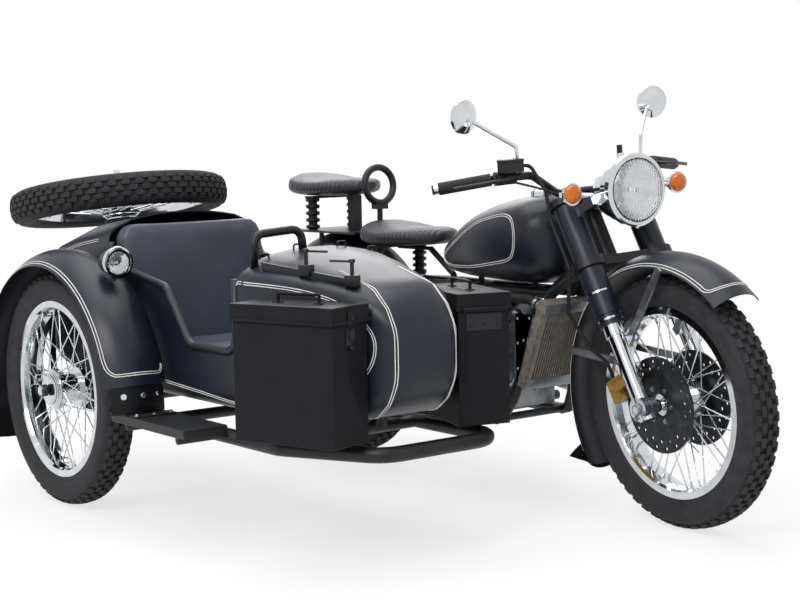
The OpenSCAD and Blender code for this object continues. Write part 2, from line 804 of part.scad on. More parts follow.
module saddle_frames() {
    under = saddle_rows[3][2] - fit;
    spring_x = -462;
    pillion_x = spring_x - pillion_back + 40;
    foot_z = 606.3;
    color("#30343a") placed() {
        both_sides() {
            translate([spring_x, 84, 0]) coil_spring(foot_z - 4, under - 1, 5);
            translate([pillion_x, 84, 0]) coil_spring(carrier_z + 5, under + pillion_rise - 1, 5);
            bar([spring_x, 84, foot_z], [spring_x, 105, foot_z], 7);
        }
        translate([spring_x - 22, -100, under - 7]) cube([44, 200, 7]);
        bar([spring_x, 0, under - 7], [-300, 0, under - 7], 6);
        bar([-300, 0, under - 7], [-190, 0, 622], 9);
        translate([-190, 0, 596 + frame_r * 0.7 + fit]) cylinder(r = 10, h = 16);
        // carrier
        translate([rear_axle.x - 165, -118, carrier_z]) cube([360, 236, 6]);
        difference() {
            translate([rear_axle.x - 70, -20, carrier_z - 10]) cube([140, 40, 12]);
            translate(rear_axle) rotate([90, 0, 0]) cylinder(r = guard_r + fit, h = 60, center = true, $fn = 128);
        }
        translate([pillion_x - 22, -100, under + pillion_rise - 7]) cube([44, 200, 7]);
        translate([saddle_rows[2][0] - pillion_back - 17, -16, carrier_z + 3])
            cube([34, 32, saddle_rows[2][2] + pillion_rise - 2 - carrier_z - 3]);
        // boss under the ring's post
        translate([ring_c.x + 2, 0, carrier_z + 3]) cylinder(r = 14, h = ring_boss + 3);
    }
}

// Ring for the pillion's hands, in a clamp on a post
ring_c = [rear_axle.x + 175, 0, 891];
ring_r = 57;
ring_boss = 8;

module grab_ring() {
    color("#1d1f22") placed() {
        translate(ring_c) rotate([0, 84, 0]) rotate_extrude() translate([ring_r, 0]) circle(r = 11);
        translate([ring_c.x - 11, -24, ring_c.z - ring_r - 20]) cube([26, 48, 24]);
        translate([ring_c.x + 2, 0, carrier_z + 6 + ring_boss + fit])
            cylinder(r = 9, h = ring_c.z - ring_r - 16 - carrier_z - ring_boss);
    }
}

module rear_mudguard() {
    color("#1b2027") placed() translate(rear_axle) {
        mudguard_arc(guard_r, guard_half, guard_sag, 30, 210);
    }
}

module tail_lamp() {
    a = 158;
    color("#8c1f1c") placed() translate(rear_axle) rotate([0, -a, 0])
        translate([guard_r + fit, 0, 0]) rotate([0, 90, 0]) {
            translate([0, 0, 0]) cylinder(r = 20, h = 20);
            translate([0, 0, 18]) cylinder(r = 34, h = 30);
        }
}

// Plungers, rear axle, bevel housing and shaft
module rear_drive() {
    low = 256 + fit;
    high = 554 - fit;
    color("#7d8186") placed() {
        both_sides() translate([rear_axle.x, 130, 0]) {
            translate([0, 0, low]) cylinder(r = 20, h = high - low);
            translate([0, 0, 300]) cylinder(r = 27, h = 80);
            translate([0, 0, 420]) cylinder(r = 26, h = high - 420);
        }
        translate(rear_axle) rotate([90, 0, 0]) {
            cylinder(r = axle_r, h = 2 * 130 + 64, center = true);
            translate([0, 0, hub_half + run_gap]) cylinder(r = 82, h = 30);
            translate([0, 0, hub_half + run_gap + 29]) cylinder(r = 40, h = 20);
            translate([0, 0, -108]) cylinder(r = 16, h = 108 - hub_half - run_gap);
        }
        bar([rear_axle.x + 40, -82, rear_axle.z - 6], [-385 - fit - 1.2, -62, 330], 14);
    }
}

// Sidecar chassis

rail_z = 280;
rail_left = -480;
rail_right = -980;
rail_front = 560;
rail_back = -1000;

// Corners of the chassis tube from the rear left, round the front, to the rear right: x and y
rail_path = [
    [rail_back, rail_left], [rail_front, rail_left], [rail_front, -850], [300, rail_right], [rail_back, rail_right]
];

// Arms to the bike: start on the left rail, middle of a frame tube, radius, and distance short of that middle
frame_arms = [
    [[60, rail_left, rail_z], [60, -130, 232], 15, frame_r + fit + 0.3],
    [[-420, rail_left, rail_z], [-420, -130, 246], 15, frame_r + fit + 0.7],
    [[120, rail_left, rail_z], [196, -47.3, 596], 12, 0.88 * frame_r + fit + 2],
    [[-480, rail_left, rail_z], [-350, -93.9, 589.2], 12, 0.88 * frame_r + fit + 5.4]
];

module sidecar_chassis() {
    z = rail_z;
    color("#1b1e22") placed() {
        pipe([for (p = rail_path) [p.x, p.y, z]], chassis_r, 80, 16, 5);
        for (x = [220, -280, -700, rail_back + 8])
            bar([x, rail_left - 6, z - 2], [x, rail_right + 6, z - 2], chassis_r * 0.8);
        // pads under the tub
        for (x = [220, -700])
            for (y = [-120, 120])
                translate([x, tub_c + y, z]) cylinder(r = 24, h = floor_z - z - fit);
        // posts under the boxes
        for (at = [[350, rail_left], [450, rail_left], [480, -890], [400, -930]])
            translate([at.x, at.y, z]) cylinder(r = 13, h = box_z - z - fit);
        // lower arms and upper struts to the bike
        for (arm = frame_arms) {
            d = unit(arm[1] - arm[0]);
            bar(arm[0], arm[1] - d * arm[3], arm[2]);
            translate(arm[0] + d * 130) sphere(r = 24);
        }
        // arms of the step board
        for (x = [-240, 30])
            bar([x, rail_right, z], [x, -1112, z], 12);
        // upright and stub axle of the sidecar wheel
        translate([side_axle.x - 32, rail_right - 33, z - 14]) cube([64, 24, side_axle.z - z + 44]);
        bar([side_axle.x, rail_right - 20, side_axle.z], [side_axle.x, side_axle.y - hub_half - 16, side_axle.z], axle_r);
        bar([side_axle.x, side_axle.y - hub_half - run_gap, side_axle.z],
            [side_axle.x, side_axle.y - hub_half - 20, side_axle.z], 17);
    }
}

module step_board() {
    color("#1d2024") placed() translate([-285, -1134, rail_z + 12 + fit]) cube([385, 130, 24]);
}

// Sidecar tub

// Rows of the tub from its tail to its nose: x, half-width, bottom, top at the side, rise of the crown
nose_c = [435, floor_z + 5 + nose_r];
tub_rows = [
    [-1122, 0.62 * tub_half, 545, 585, 6],
    [-1108, 0.74 * tub_half, 500, 622, 12],
    [-1070, 0.86 * tub_half, 455, 660, 18],
    [-1000, 0.94 * tub_half, 410, 702, 26],
    [-900, tub_half, 372, 738, 32],
    [-760, tub_half, floor_z, 776, 36],
    [-540, tub_half, floor_z, 806, 36],
    [100, tub_half, floor_z, 716, 48],
    [150, tub_half, floor_z, 714, 48],
    [300, tub_half - 150 * tan(nose_taper), floor_z + 1, 702, 34],
    [nose_c.x, tub_half - 285 * tan(nose_taper), floor_z + 5, nose_c.y + nose_r, 20]
];
nose_rows = [
    for (a = [22, 42, 58, 72, 83])
        let (h = nose_r * cos(a), x = nose_c.x + nose_r * sin(a))
        [x, tub_half - (x - 150) * tan(nose_taper) - 52 * pow(1 - cos(a), 1.6), nose_c.y - h, nose_c.y + h, 20 * cos(a)]
];

// Section of the tub with rounded corners and a crowned top, drawn in by a wall
function tub_ring(row, wall) =
    let (
        half = row[1] - wall,
        low = row[2] + wall,
        edge = row[3] - wall,
        tall = edge - low,
        low_r = min(46, tall * 0.45),
        top_r = min(40, tall * 0.45),
        side = [
            for (a = [-90 : 15 : 0])
                [half - low_r + low_r * cos(a), low + low_r + low_r * sin(a)],
            for (a = [0 : 15 : 75])
                [half - top_r + top_r * cos(a), edge - top_r + top_r * sin(a)]
        ],
        shoulder = half - top_r + top_r * cos(75),
        top = [for (k = [1 : 4]) let (y = shoulder * (1 - k / 5)) [y, edge + row[4] * (1 - pow(y / half, 2))]],
        right = concat(side, top),
        n = len(right)
    )
    concat(
        [for (p = right) [row[0], p.x, p.y]],
        [for (i = [n - 1 : -1 : 0]) [row[0], -right[i].x, right[i].y]]
    );

module tub_body(wall) {
    rows = concat(tub_rows, nose_rows);
    translate([0, tub_c, 0]) loft([for (row = rows) tub_ring(row, wall)]);
}

// Edge of the cockpit in the tub's middle plane, from the cowl to the seat back
cockpit_edge = [[112, 0, 900], [112, 0, 500], [-120, 0, 500], [-240, 0, 650], [-545, 0, 700], [-545, 0, 900]];
trim_r = 11;
trim_bend = 46;

module sidecar_tub() {
    color("#1b2027") placed() as_mesh() difference() {
        tub_body(0);
        intersection() {
            tub_body(tub_wall);
            translate([-1090, tub_c - 400, 0]) cube([1660, 800, 1000]);
        }
        translate([0, tub_c, 0]) rotate([90, 0, 0]) linear_extrude(height = 800, center = true)
            offset(r = trim_r, $fn = 40) polygon([for (q = bent_path(cockpit_edge, trim_bend, 4)) [q.x, q.z]]);
    }
}

// Padded tube along the edge of the cockpit
module cockpit_trim() {
    p = cockpit_edge;
    y = tub_half - tub_wall / 2;
    color("#17191c") placed() translate([0, tub_c, 0]) both_sides() pipe([
        [p[0].x, y, 690], [p[1].x, y, p[1].z], [p[2].x, y, p[2].z], [p[3].x, y, p[3].z], [p[4].x, y, p[4].z], [p[4].x, y, 760]
    ], trim_r - fit, trim_bend);
}

// Seat pieces: half-width above and below the curve of the tub's lower corners
seat_half = tub_half - tub_wall - 9;
seat_low_half = tub_half - 60;
seat_low = floor_z + tub_wall + fit;
seat_mid = floor_z + 51;

module seat_back() {
    color("#2d3743") placed() translate([-523, tub_c, seat_low]) rotate([0, -4, 0]) {
        translate([0, -seat_half, seat_mid - seat_low]) cube([54, 2 * seat_half, 812 - seat_mid]);
        translate([0, -seat_low_half, 0.1]) cube([50, 2 * seat_low_half, seat_mid - seat_low]);
    }
}

module seat_cushion() {
    color("#2d3743") placed() translate([-466, tub_c, 0]) {
        translate([0, -seat_half, seat_mid]) cube([249, 2 * seat_half, 475 - seat_mid]);
        translate([0, -seat_low_half, seat_low]) cube([235, 2 * seat_low_half, seat_mid - seat_low + 1]);
    }
}

// Handle for the passenger on the right of the cowl
module grab_rail() {
    color("#15171a") placed() as_mesh() difference() {
        pipe([[140, -936, 690], [140, -936, 802], [140, -790, 812], [140, -782, 730]], 11, 30);
        tub_body(-fit);
    }
}

// Sidecar's mudguard, its centre ahead of and below the axle
side_guard_r = 430;
side_guard_sag = 45;
side_guard_c = side_axle + [25, 0, -25];

module sidecar_mudguard() {
    stay_y = rail_right - side_axle.y - 16;
    stay_r = side_guard_r - 44.5;
    foot_z = rail_z + sqrt(pow(chassis_r, 2) - 64) + fit + 0.1;
    color("#1b2027") placed() translate(side_guard_c) {
        mudguard_arc(side_guard_r, side_guard_half, side_guard_sag, 11, 194);
        // stays down to the chassis
        for (x = [-310, 60])
            intersection() {
                rotate([90, 0, 0]) cylinder(r = stay_r, h = 400, center = true, $fn = 128);
                translate([x, stay_y, foot_z - side_guard_c.z]) cube([26, 8, 500]);
            }
    }
}

// Lamp on the sidecar's mudguard
side_lamp_c = [-350, -1070, 716];
side_lamp_r = 40;

module sidecar_lamp() {
    color("#c6cacd") placed() {
        translate(side_lamp_c) turned_x([
            [-62, 0], [-58, 16], [-40, 31], [-10, side_lamp_r], [12, side_lamp_r + 2], [18, side_lamp_r + 2],
            [18, side_lamp_r - 4], [4, side_lamp_r - 6], [4, 0]
        ]);
        post = [side_lamp_c.x - 15, side_lamp_c.y];
        low = side_guard_c.z + sqrt(pow(side_guard_r, 2) - pow(post.x - 8 - side_guard_c.x, 2)) + fit;
        translate([post.x, post.y, low]) cylinder(r = 8, h = side_lamp_c.z - 30 - low);
    }
}

module sidecar_lamp_lens() {
    color("#dfe6ea", 0.6) placed() translate(side_lamp_c) turned_x([
        [4 + fit, 0], [4 + fit, side_lamp_r - 6 - fit - 0.2], [18, side_lamp_r - 4 - fit - 0.3],
        [24, side_lamp_r - 10], [30, 14], [31, 0]
    ]);
}

// Boxes

module box_body() {
    h = box_h - lid_h;
    difference() {
        translate([-box_l / 2, -box_w / 2, 0]) cube([box_l, box_w, h]);
        translate([-box_l / 2 + box_wall, -box_w / 2 + box_wall, box_wall])
            cube([box_l - 2 * box_wall, box_w - 2 * box_wall, h]);
    }
}

// Lid that turns about a pin at the top of one end of the box
lid_pin = [-box_l / 2 - 9, box_h - lid_h + 4];

module box_lid() {
    h = box_h - lid_h;
    over = 4;
    difference() {
        translate([-box_l / 2 - over, -box_w / 2 - over, h + fit]) cube([box_l + 2 * over, box_w + 2 * over, lid_h - fit]);
        translate([-box_l / 2 + box_wall, -box_w / 2 + box_wall, h])
            cube([box_l - 2 * box_wall, box_w - 2 * box_wall, lid_h - box_wall]);
    }
    translate([lid_pin.x, 0, lid_pin.y]) rotate([90, 0, 0]) cylinder(r = 6, h = box_w - 20, center = true);
    // bail handle
    bar_run([[-62, 0, box_h - 1], [-62, 0, box_h + 22], [62, 0, box_h + 22], [62, 0, box_h - 1]], 4);
}

module right_box() { color("#20262e") placed() box_frame(1) box_body(); }
module left_box() { color("#20262e") placed() box_frame(-1) box_body(); }
module right_box_lid() { color("#20262e") placed() box_frame(1) box_lid(); }
module left_box_lid() { color("#20262e") placed() box_frame(-1) mirror([1, 0, 0]) box_lid(); }

// Clamp blocks between each box and the side of the tub's nose
module box_mounts() {
    color("#16181b") placed() for (side = [1, -1])
        box_frame(side)
            for (x = [-90, 70])
                translate([x, box_w / 2 + fit, 196]) cube([34, box_gap - 1.2, 60]);
}

// Saddle of the spare wheel on the tail's deck
module spare_carrier() {
    color("#1b1e22") placed() as_mesh() difference() {
        spare_frame() translate([0, 0, -160]) cylinder(r = 54, h = 160 - hub_half - fit);
        tub_body(-fit);
    }
}

module spare_stud() {
    color("#c0c4c8") placed() spare_frame() {
        translate([0, 0, -hub_half]) cylinder(r = axle_r, h = 2 * hub_half + 34);
        translate([0, 0, hub_half + fit]) cylinder(r = 24, h = 14, $fn = 6);
    }
}

main_frame();
engine();
radiator();
coolant_hoses();
exhaust();
fuel_tank();
rider_saddle();
pillion_saddle();
saddle_frames();
grab_ring();
rear_mudguard();
tail_lamp();
rear_drive();
sidecar_chassis();
sidecar_tub();
cockpit_trim();
seat_back();
seat_cushion();
grab_rail();
sidecar_mudguard();
sidecar_lamp();
sidecar_lamp_lens();
step_board();
box_mounts();
right_box();
left_box();
right_box_lid();
left_box_lid();
spare_carrier();
spare_stud();
spare_tyre();
spare_wheel();
fork_yokes();
fork_shrouds();
fork_legs();
handlebar();
grips();
hand_levers();
mirrors();
headlamp();
headlamp_lens();
indicator_lenses();
front_mudguard();
mudguard_stays();
brake_calipers();
brake_hose();
brake_discs();
front_tyre();
front_wheel();
rear_tyre();
rear_wheel();
sidecar_tyre();
sidecar_wheel();
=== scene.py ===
"""Looks of a sidecar motorcycle: finishes, treaded tyres, padded seats, coach lines and small fittings."""

import json
import logging
import math
from dataclasses import dataclass
from enum import Enum
from typing import Callable, Optional, Sequence

import bmesh
import bpy
from mathutils import Matrix, Vector
from mathutils.bvhtree import BVHTree

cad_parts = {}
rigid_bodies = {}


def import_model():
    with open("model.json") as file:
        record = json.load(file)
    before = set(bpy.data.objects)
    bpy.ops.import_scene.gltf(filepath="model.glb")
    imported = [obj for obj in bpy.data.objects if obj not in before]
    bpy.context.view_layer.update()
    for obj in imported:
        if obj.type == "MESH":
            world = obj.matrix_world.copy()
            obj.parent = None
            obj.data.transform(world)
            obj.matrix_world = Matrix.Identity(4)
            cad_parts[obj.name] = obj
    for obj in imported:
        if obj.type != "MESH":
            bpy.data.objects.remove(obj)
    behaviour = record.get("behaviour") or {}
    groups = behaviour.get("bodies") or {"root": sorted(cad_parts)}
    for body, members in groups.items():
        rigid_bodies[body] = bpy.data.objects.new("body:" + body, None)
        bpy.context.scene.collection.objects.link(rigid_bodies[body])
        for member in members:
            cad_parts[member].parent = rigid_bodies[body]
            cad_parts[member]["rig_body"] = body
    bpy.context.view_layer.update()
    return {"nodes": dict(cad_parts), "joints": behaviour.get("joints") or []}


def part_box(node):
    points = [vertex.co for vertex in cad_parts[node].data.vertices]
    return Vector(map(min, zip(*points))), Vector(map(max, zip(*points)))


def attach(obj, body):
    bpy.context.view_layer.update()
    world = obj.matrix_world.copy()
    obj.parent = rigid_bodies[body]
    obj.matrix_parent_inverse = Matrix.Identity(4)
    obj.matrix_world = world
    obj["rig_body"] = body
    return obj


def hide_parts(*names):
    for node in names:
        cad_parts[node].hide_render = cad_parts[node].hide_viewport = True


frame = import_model()
LOG = logging.getLogger("outfit")
MM = 0.001
Path = list[Vector]
Flat = list[tuple[float, float]]

# Places in bike axes, and the radius across the sidecar mudguard's face, in millimetres
HEADLAMP = (585, 0, 893)
SIDE_LAMP = (-350, -1070, 716)
SIDE_AXLE = (-647, -1082, 338)
SIDE_GUARD = (-622, -1082, 313)
SIDE_GUARD_ACROSS = 122.8
SPARE = (-950, -730, 862)
TUB_Y = -730


def linear(colour: str) -> tuple[float, float, float, float]:
    """Linear RGBA of an sRGB hex colour."""
    parts = [int(colour[i:i + 2], 16) / 255 for i in (1, 3, 5)]
    return (*[c / 12.92 if c <= 0.04045 else ((c + 0.055) / 1.055) ** 2.4 for c in parts], 1.0)


def add(tree: bpy.types.NodeTree, kind: str, inputs: Optional[dict] = None,
        **settings: object) -> bpy.types.Node:
    """Adds a node to a tree.

    Args:
        tree: Node tree that takes the node.
        kind: Type name of the node.
        inputs: Sockets to link from, or values to set, by input name.
        settings: Attributes of the node itself.

    Returns:
        The node.
    """
    node = tree.nodes.new(kind)
    for name, value in settings.items():
        setattr(node, name, value)
    for name, value in (inputs or {}).items():
        if isinstance(value, bpy.types.NodeSocket):
            tree.links.new(value, node.inputs[name])
        else:
            node.inputs[name].default_value = value
    return node


class Run(Enum):
    """Direction in which a pattern repeats."""

    ALONG = "X"
    ACROSS = "Y"
    UP = "Z"


class Body(Enum):
    """Moving bodies of the outfit."""

    CHASSIS = "chassis"
    STEERING = "steering"
    FRONT_WHEEL = "front_wheel"
    REAR_WHEEL = "rear_wheel"
    SIDECAR_WHEEL = "sidecar_wheel"
    RIGHT_LID = "right_box_lid"
    LEFT_LID = "left_box_lid"


@dataclass(frozen=True)
class Finish:
    """Procedural finish: two tones in soft patches, a roughness that wanders with them and a fine grain."""

    name: str
    colour: str
    second: str
    roughness: float
    slot: Optional[str] = None
    metallic: float = 0.0
    patch_mm: float = 120.0
    grain_mm: float = 3.0
    relief_mm: float = 0.03
    spread: float = 0.06
    shine: float = 0.5

    def material(self) -> bpy.types.Material:
        """Material of this finish, made on first use."""
        found = bpy.data.materials.get(self.name)
        if found:
            return found
        made = bpy.data.materials.new(self.name)
        made.use_nodes = True
        tree = made.node_tree
        shader = tree.nodes["Principled BSDF"]
        place = add(tree, "ShaderNodeTexCoord").outputs["Object"]
        patch = add(tree, "ShaderNodeTexNoise",
                    {"Vector": place, "Scale": 1 / (self.patch_mm * MM), "Detail": 5.0})
        tone = add(tree, "ShaderNodeValToRGB", {"Fac": patch.outputs["Fac"]})
        low, high = tone.color_ramp.elements
        low.position, low.color = 0.36, linear(self.colour)
        high.position, high.color = 0.68, linear(self.second)
        rough = add(tree, "ShaderNodeMapRange", {
            "Value": patch.outputs["Fac"], "From Min": 0.3, "From Max": 0.7,
            "To Min": max(0.02, self.roughness - self.spread), "To Max": self.roughness + self.spread})
        bump = add(tree, "ShaderNodeBump",
                   {"Height": self.height(tree, place), "Distance": self.relief_mm * MM})
        tree.links.new(tone.outputs["Color"], shader.inputs["Base Color"])
        tree.links.new(rough.outputs["Result"], shader.inputs["Roughness"])
        tree.links.new(bump.outputs["Normal"], shader.inputs["Normal"])
        shader.inputs["Metallic"].default_value = self.metallic
        shader.inputs["Specular IOR Level"].default_value = self.shine
        self.tune(shader)
        return made

    def height(self, tree: bpy.types.NodeTree, place: bpy.types.NodeSocket) -> bpy.types.NodeSocket:
        """Relief of the surface as a socket from 0 to 1."""
        grain = add(tree, "ShaderNodeTexNoise",
                    {"Vector": place, "Scale": 1 / (self.grain_mm * MM), "Detail": 2.0})
        return grain.outputs["Fac"]

    def tune(self, shader: bpy.types.Node) -> None:
        """Sets what a kind of finish adds to the shader's own sockets."""


@dataclass(frozen=True)
class Ribbed(Finish):
    """Finish with parallel ribs, such as a moulded saddle."""

    pitch_mm: float = 14.0
    run: Run = Run.ALONG

    def height(self, tree: bpy.types.NodeTree, place: bpy.types.NodeSocket) -> bpy.types.NodeSocket:
        """Relief of the ribs as a socket from 0 to 1."""
        wave = add(tree, "ShaderNodeTexWave", {"Vector": place, "Scale": math.pi / (10 * self.pitch_mm * MM)},
                   bands_direction=self.run.value)
        return wave.outputs["Fac"]


@dataclass(frozen=True)
class Grained(Finish):
    """Finish with the cell pattern of embossed vinyl."""

    def height(self, tree: bpy.types.NodeTree, place: bpy.types.NodeSocket) -> bpy.types.NodeSocket:
        """Relief of the cells as a socket from 0 to 1."""
        cells = add(tree, "ShaderNodeTexVoronoi", {"Vector": place, "Scale": 1 / (self.grain_mm * MM)})
        return cells.outputs["Distance"]


@dataclass(frozen=True)
class Lens(Ribbed):
    """Fluted glass or plastic that light passes through."""

    clear: float = 1.0

    def tune(self, shader: bpy.types.Node) -> None:
        """Lets light through."""
        shader.inputs["Transmission Weight"].default_value = self.clear
        shader.inputs["IOR"].default_value = 1.45


# Satin blue-black enamel: a dark sheen with broad soft highlights
PAINT = Finish("satin_enamel", "#151924", "#1b202c", 0.37, "paint", patch_mm=260, grain_mm=9, relief_mm=0.05,
               shine=0.34)
# Stove-enamelled steel: near black, a little rougher than the bodywork
BLACK = Finish("stove_enamel", "#131518", "#1a1c20", 0.42, "black_steel", shine=0.34)
# Brush-painted sheet of the boxes: browner black with a flat sheen
BOX = Finish("brushed_enamel", "#121217", "#18181d", 0.5, "box_paint", patch_mm=70, grain_mm=6,
             relief_mm=0.08, shine=0.15)
# Chrome plate: bright mirror with a trace of haze
CHROME = Finish("chrome_plate", "#d4d7da", "#c3c7cb", 0.09, "chrome", 1.0, 40, 8, 0.01, 0.04)
# Sand-cast alloy: grey, granular
ALLOY = Finish("cast_alloy", "#7f8388", "#989ca0", 0.42, "alloy", 0.85, 30, 1.6, 0.08)
# Zinc-plated steel: soft grey with a brushed haze
STEEL = Finish("zinc_steel", "#868b91", "#9ca0a5", 0.34, "steel", 0.9, 24, 1.2, 0.03)
# Ground disc steel: dark with fine turning marks
DISC = Finish("ground_steel", "#2b2d31", "#3d4045", 0.38, "disc_steel", 0.85, 20, 0.9, 0.03)
# Radiator core: dull brownish metal in fine upright fins
CORE = Ribbed("radiator_core", "#76716b", "#969089", 0.55, "radiator_metal", 0.4, 18, 2, 0.8, pitch_mm=4.5,
              run=Run.ACROSS)
# Caliper paint: dull gold
GOLD = Finish("caliper_paint", "#8d6d2a", "#a8853a", 0.42, "gold_paint", 0.5, 25)
# Moulded rubber: dull black
RUBBER = Finish("moulded_rubber", "#121314", "#1a1b1d", 0.6, "rubber", patch_mm=40, grain_mm=1.5,
                relief_mm=0.06, shine=0.3)
# Saddle rubber: grey-black with ribs across
SADDLE = Ribbed("saddle_rubber", "#25272d", "#2f3239", 0.45, "rubber", patch_mm=60, relief_mm=1.4, shine=0.5,
                pitch_mm=13)
# Tyre rubber: dull charcoal with a dusty bloom
TYRE = Finish("tyre_rubber", "#242427", "#343337", 0.78, "tyre", patch_mm=35, grain_mm=2, relief_mm=0.1,
              spread=0.1, shine=0.3)
# Vinyl of the seats: bluish charcoal with a small grain
VINYL = Grained("grained_vinyl", "#3c414c", "#464c58", 0.4, "vinyl", patch_mm=160, grain_mm=2.2,
                relief_mm=0.12, shine=0.5)
# Vinyl of the cockpit's edge: black with a sheen along the roll
TRIM = Grained("trim_vinyl", "#14161b", "#1b1e24", 0.34, "vinyl", patch_mm=90, grain_mm=2.2, relief_mm=0.1,
               shine=0.4)
# Lamp glass with upright flutes
GLASS = Lens("fluted_glass", "#f4f7f8", "#ffffff", 0.05, "clear_lens", relief_mm=0.5, spread=0.02, pitch_mm=9,
             run=Run.ACROSS)
# Amber and red lenses: tinted plastic with rings of light inside
AMBER = Lens("amber_plastic", "#e8780c", "#f2921c", 0.12, "amber_lens", relief_mm=0.4, pitch_mm=6, run=Run.UP,
             clear=0.45)
RED = Lens("red_plastic", "#9c1512", "#b3201a", 0.14, "red_lens", relief_mm=0.4, pitch_mm=6, run=Run.UP,
           clear=0.4)
# Coach line: off-white enamel with a slight gloss
LINE = Finish("coach_line", "#cfd1ce", "#dfe0dd", 0.32, patch_mm=30, relief_mm=0.02)
# Galvanised sheet: blue-grey spangle
GALVANISED = Finish("galvanised_sheet", "#76828f", "#98a4b0", 0.4, "radiator_metal", 0.7, 9, 4, 0.03)

DRESS: dict[Finish, tuple[str, ...]] = {
    PAINT: ("front_mudguard", "rear_mudguard", "sidecar_mudguard", "fork_shrouds", "sidecar_lamp"),
    BLACK: ("main_frame", "saddle_frames", "grab_ring", "step_board", "box_mounts", "fork_yokes",
            "hand_levers", "spare_carrier"),
    BOX: ("right_box", "left_box", "right_box_lid", "left_box_lid"),
    CHROME: ("spare_stud", "spare_wheel", "fork_legs", "mirrors", "headlamp",
             "front_wheel", "rear_wheel", "sidecar_wheel"),
    ALLOY: ("engine", "rear_drive"),
    STEEL: ("mudguard_stays",),
    DISC: ("brake_discs",),
    CORE: ("radiator",),
    GOLD: ("brake_calipers",),
    RUBBER: ("grips",),
    AMBER: ("indicator_lenses",),
    RED: ("tail_lamp",),
}

SMOOTH: dict[Finish, tuple[str, ...]] = {
    PAINT: ("fuel_tank", "sidecar_tub"),
    BLACK: ("sidecar_chassis", "grab_rail", "handlebar"),
    STEEL: ("exhaust",),
    RUBBER: ("coolant_hoses", "brake_hose"),
    SADDLE: ("rider_saddle", "pillion_saddle"),
    TRIM: ("cockpit_trim",),
}


def body_of(node: str) -> Body:
    """Body that carries a CAD node."""
    return Body(frame["nodes"][node]["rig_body"])


@dataclass(frozen=True)
class BikeAxes:
    """Axes of the source: X forward from mid wheelbase, Y left, Z up, in millimetres."""

    origin: Vector
    turn: Matrix
    wheelbase: float = 1470.0
    wheel_r: float = 338.0
    axle_z: float = 337.694
    rake: float = math.radians(29)

    @classmethod
    def of_frame(cls, steer_pose: float = 7.0) -> "BikeAxes":
        """Axes found from the rear tyre and the steering joint.

        Args:
            steer_pose: Turn of the steering to the right in the stored pose, in degrees.

        Returns:
            The axes.
        """
        low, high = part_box("rear_tyre")
        origin = Vector(((low.x + high.x) / 2 + cls.wheelbase * MM / 2, (low.y + high.y) / 2, 0))
        joint = next(j for j in frame["joints"] if j["name"] == "steering_turn")
        pivot = Matrix.Translation(Vector(joint["pos_m"]))
        turn = pivot @ Matrix.Rotation(math.radians(-steer_pose), 4, Vector(joint["axis"])) @ pivot.inverted()
        return cls(origin, turn)

    def at(self, x: float, y: float, z: float) -> Vector:
        """Row place of a point in bike axes."""
        return self.origin + Vector((x, y, z)) * MM

    def frame_at(self, x: float, y: float, z: float) -> Matrix:
        """Matrix of axes parallel to the bike's at a point."""
        return Matrix.Translation(self.at(x, y, z))

    def steered(self) -> Matrix:
        """Matrix from bike axes in metres, straight ahead, to the stored pose."""
        return self.turn @ Matrix.Translation(self.origin)

    def fork(self) -> Matrix:
        """Matrix of the fork's axes: origin on the front axle, Z up a leg, X forward."""
        axle = Matrix.Translation(Vector((self.wheelbase / 2, 0, self.axle_z)) * MM)
        return self.steered() @ axle @ Matrix.Rotation(-self.rake, 4, "Y")

    def front_hub(self) -> Matrix:
        """Matrix of upright axes on the front axle, turned with the steering."""
        return self.steered() @ Matrix.Translation(Vector((self.wheelbase / 2, 0, self.axle_z)) * MM)

    def box(self, side: int) -> Matrix:
        """Matrix of a box's axes: origin at the middle of its bottom, X along it, Y to the tub.

        Args:
            side: 1 for the right box and -1 for the left one.

        Returns:
            The matrix, which mirrors for the left box.
        """
        return (self.frame_at(408, TUB_Y, 314) @ Matrix.Diagonal((1, side, 1, 1))
                @ Matrix.Translation((0, -255 * MM, 0)) @ Matrix.Rotation(math.radians(18), 4, "Z"))


@dataclass(frozen=True)
class Arch:
    """Face of an arched mudguard: axes of its centre, radius of its crown and radius of its cross-section."""

    centre: Matrix
    crown: float
    across: float

    def at(self, turn: float, y: float, lift: float = 0.0) -> Vector:
        """Row place at an angle round the centre, in radians, and a distance aside, in millimetres."""
        r = self.crown - self.across + math.sqrt(self.across ** 2 - y * y) + lift
        return self.centre @ (Vector((r * math.cos(turn), y, r * math.sin(turn))) * MM)


def curve_through(points: Sequence[Vector], steps: int = 8, closed: bool = False) -> Path:
    """Smooth path through points.

    Args:
        points: Points that the path passes.
        steps: Pieces between two points.
        closed: Whether the path returns to its start.

    Returns:
        The points of the path.
    """
    n = len(points)
    spans = n if closed else n - 1
    path: Path = []
    for i in range(spans):
        near = (i - 1, i, i + 1, i + 2)
        a, b, c, d = (points[k % n] if closed else points[min(max(k, 0), n - 1)] for k in near)
        for k in range(steps):
            f = k / steps
            path.append(b + f / 2 * ((c - a) + f * (2 * a - 5 * b + 4 * c - d + f * (3 * (b - c) + d - a))))
    if not closed:
        path.append(points[-1].copy())
    return path


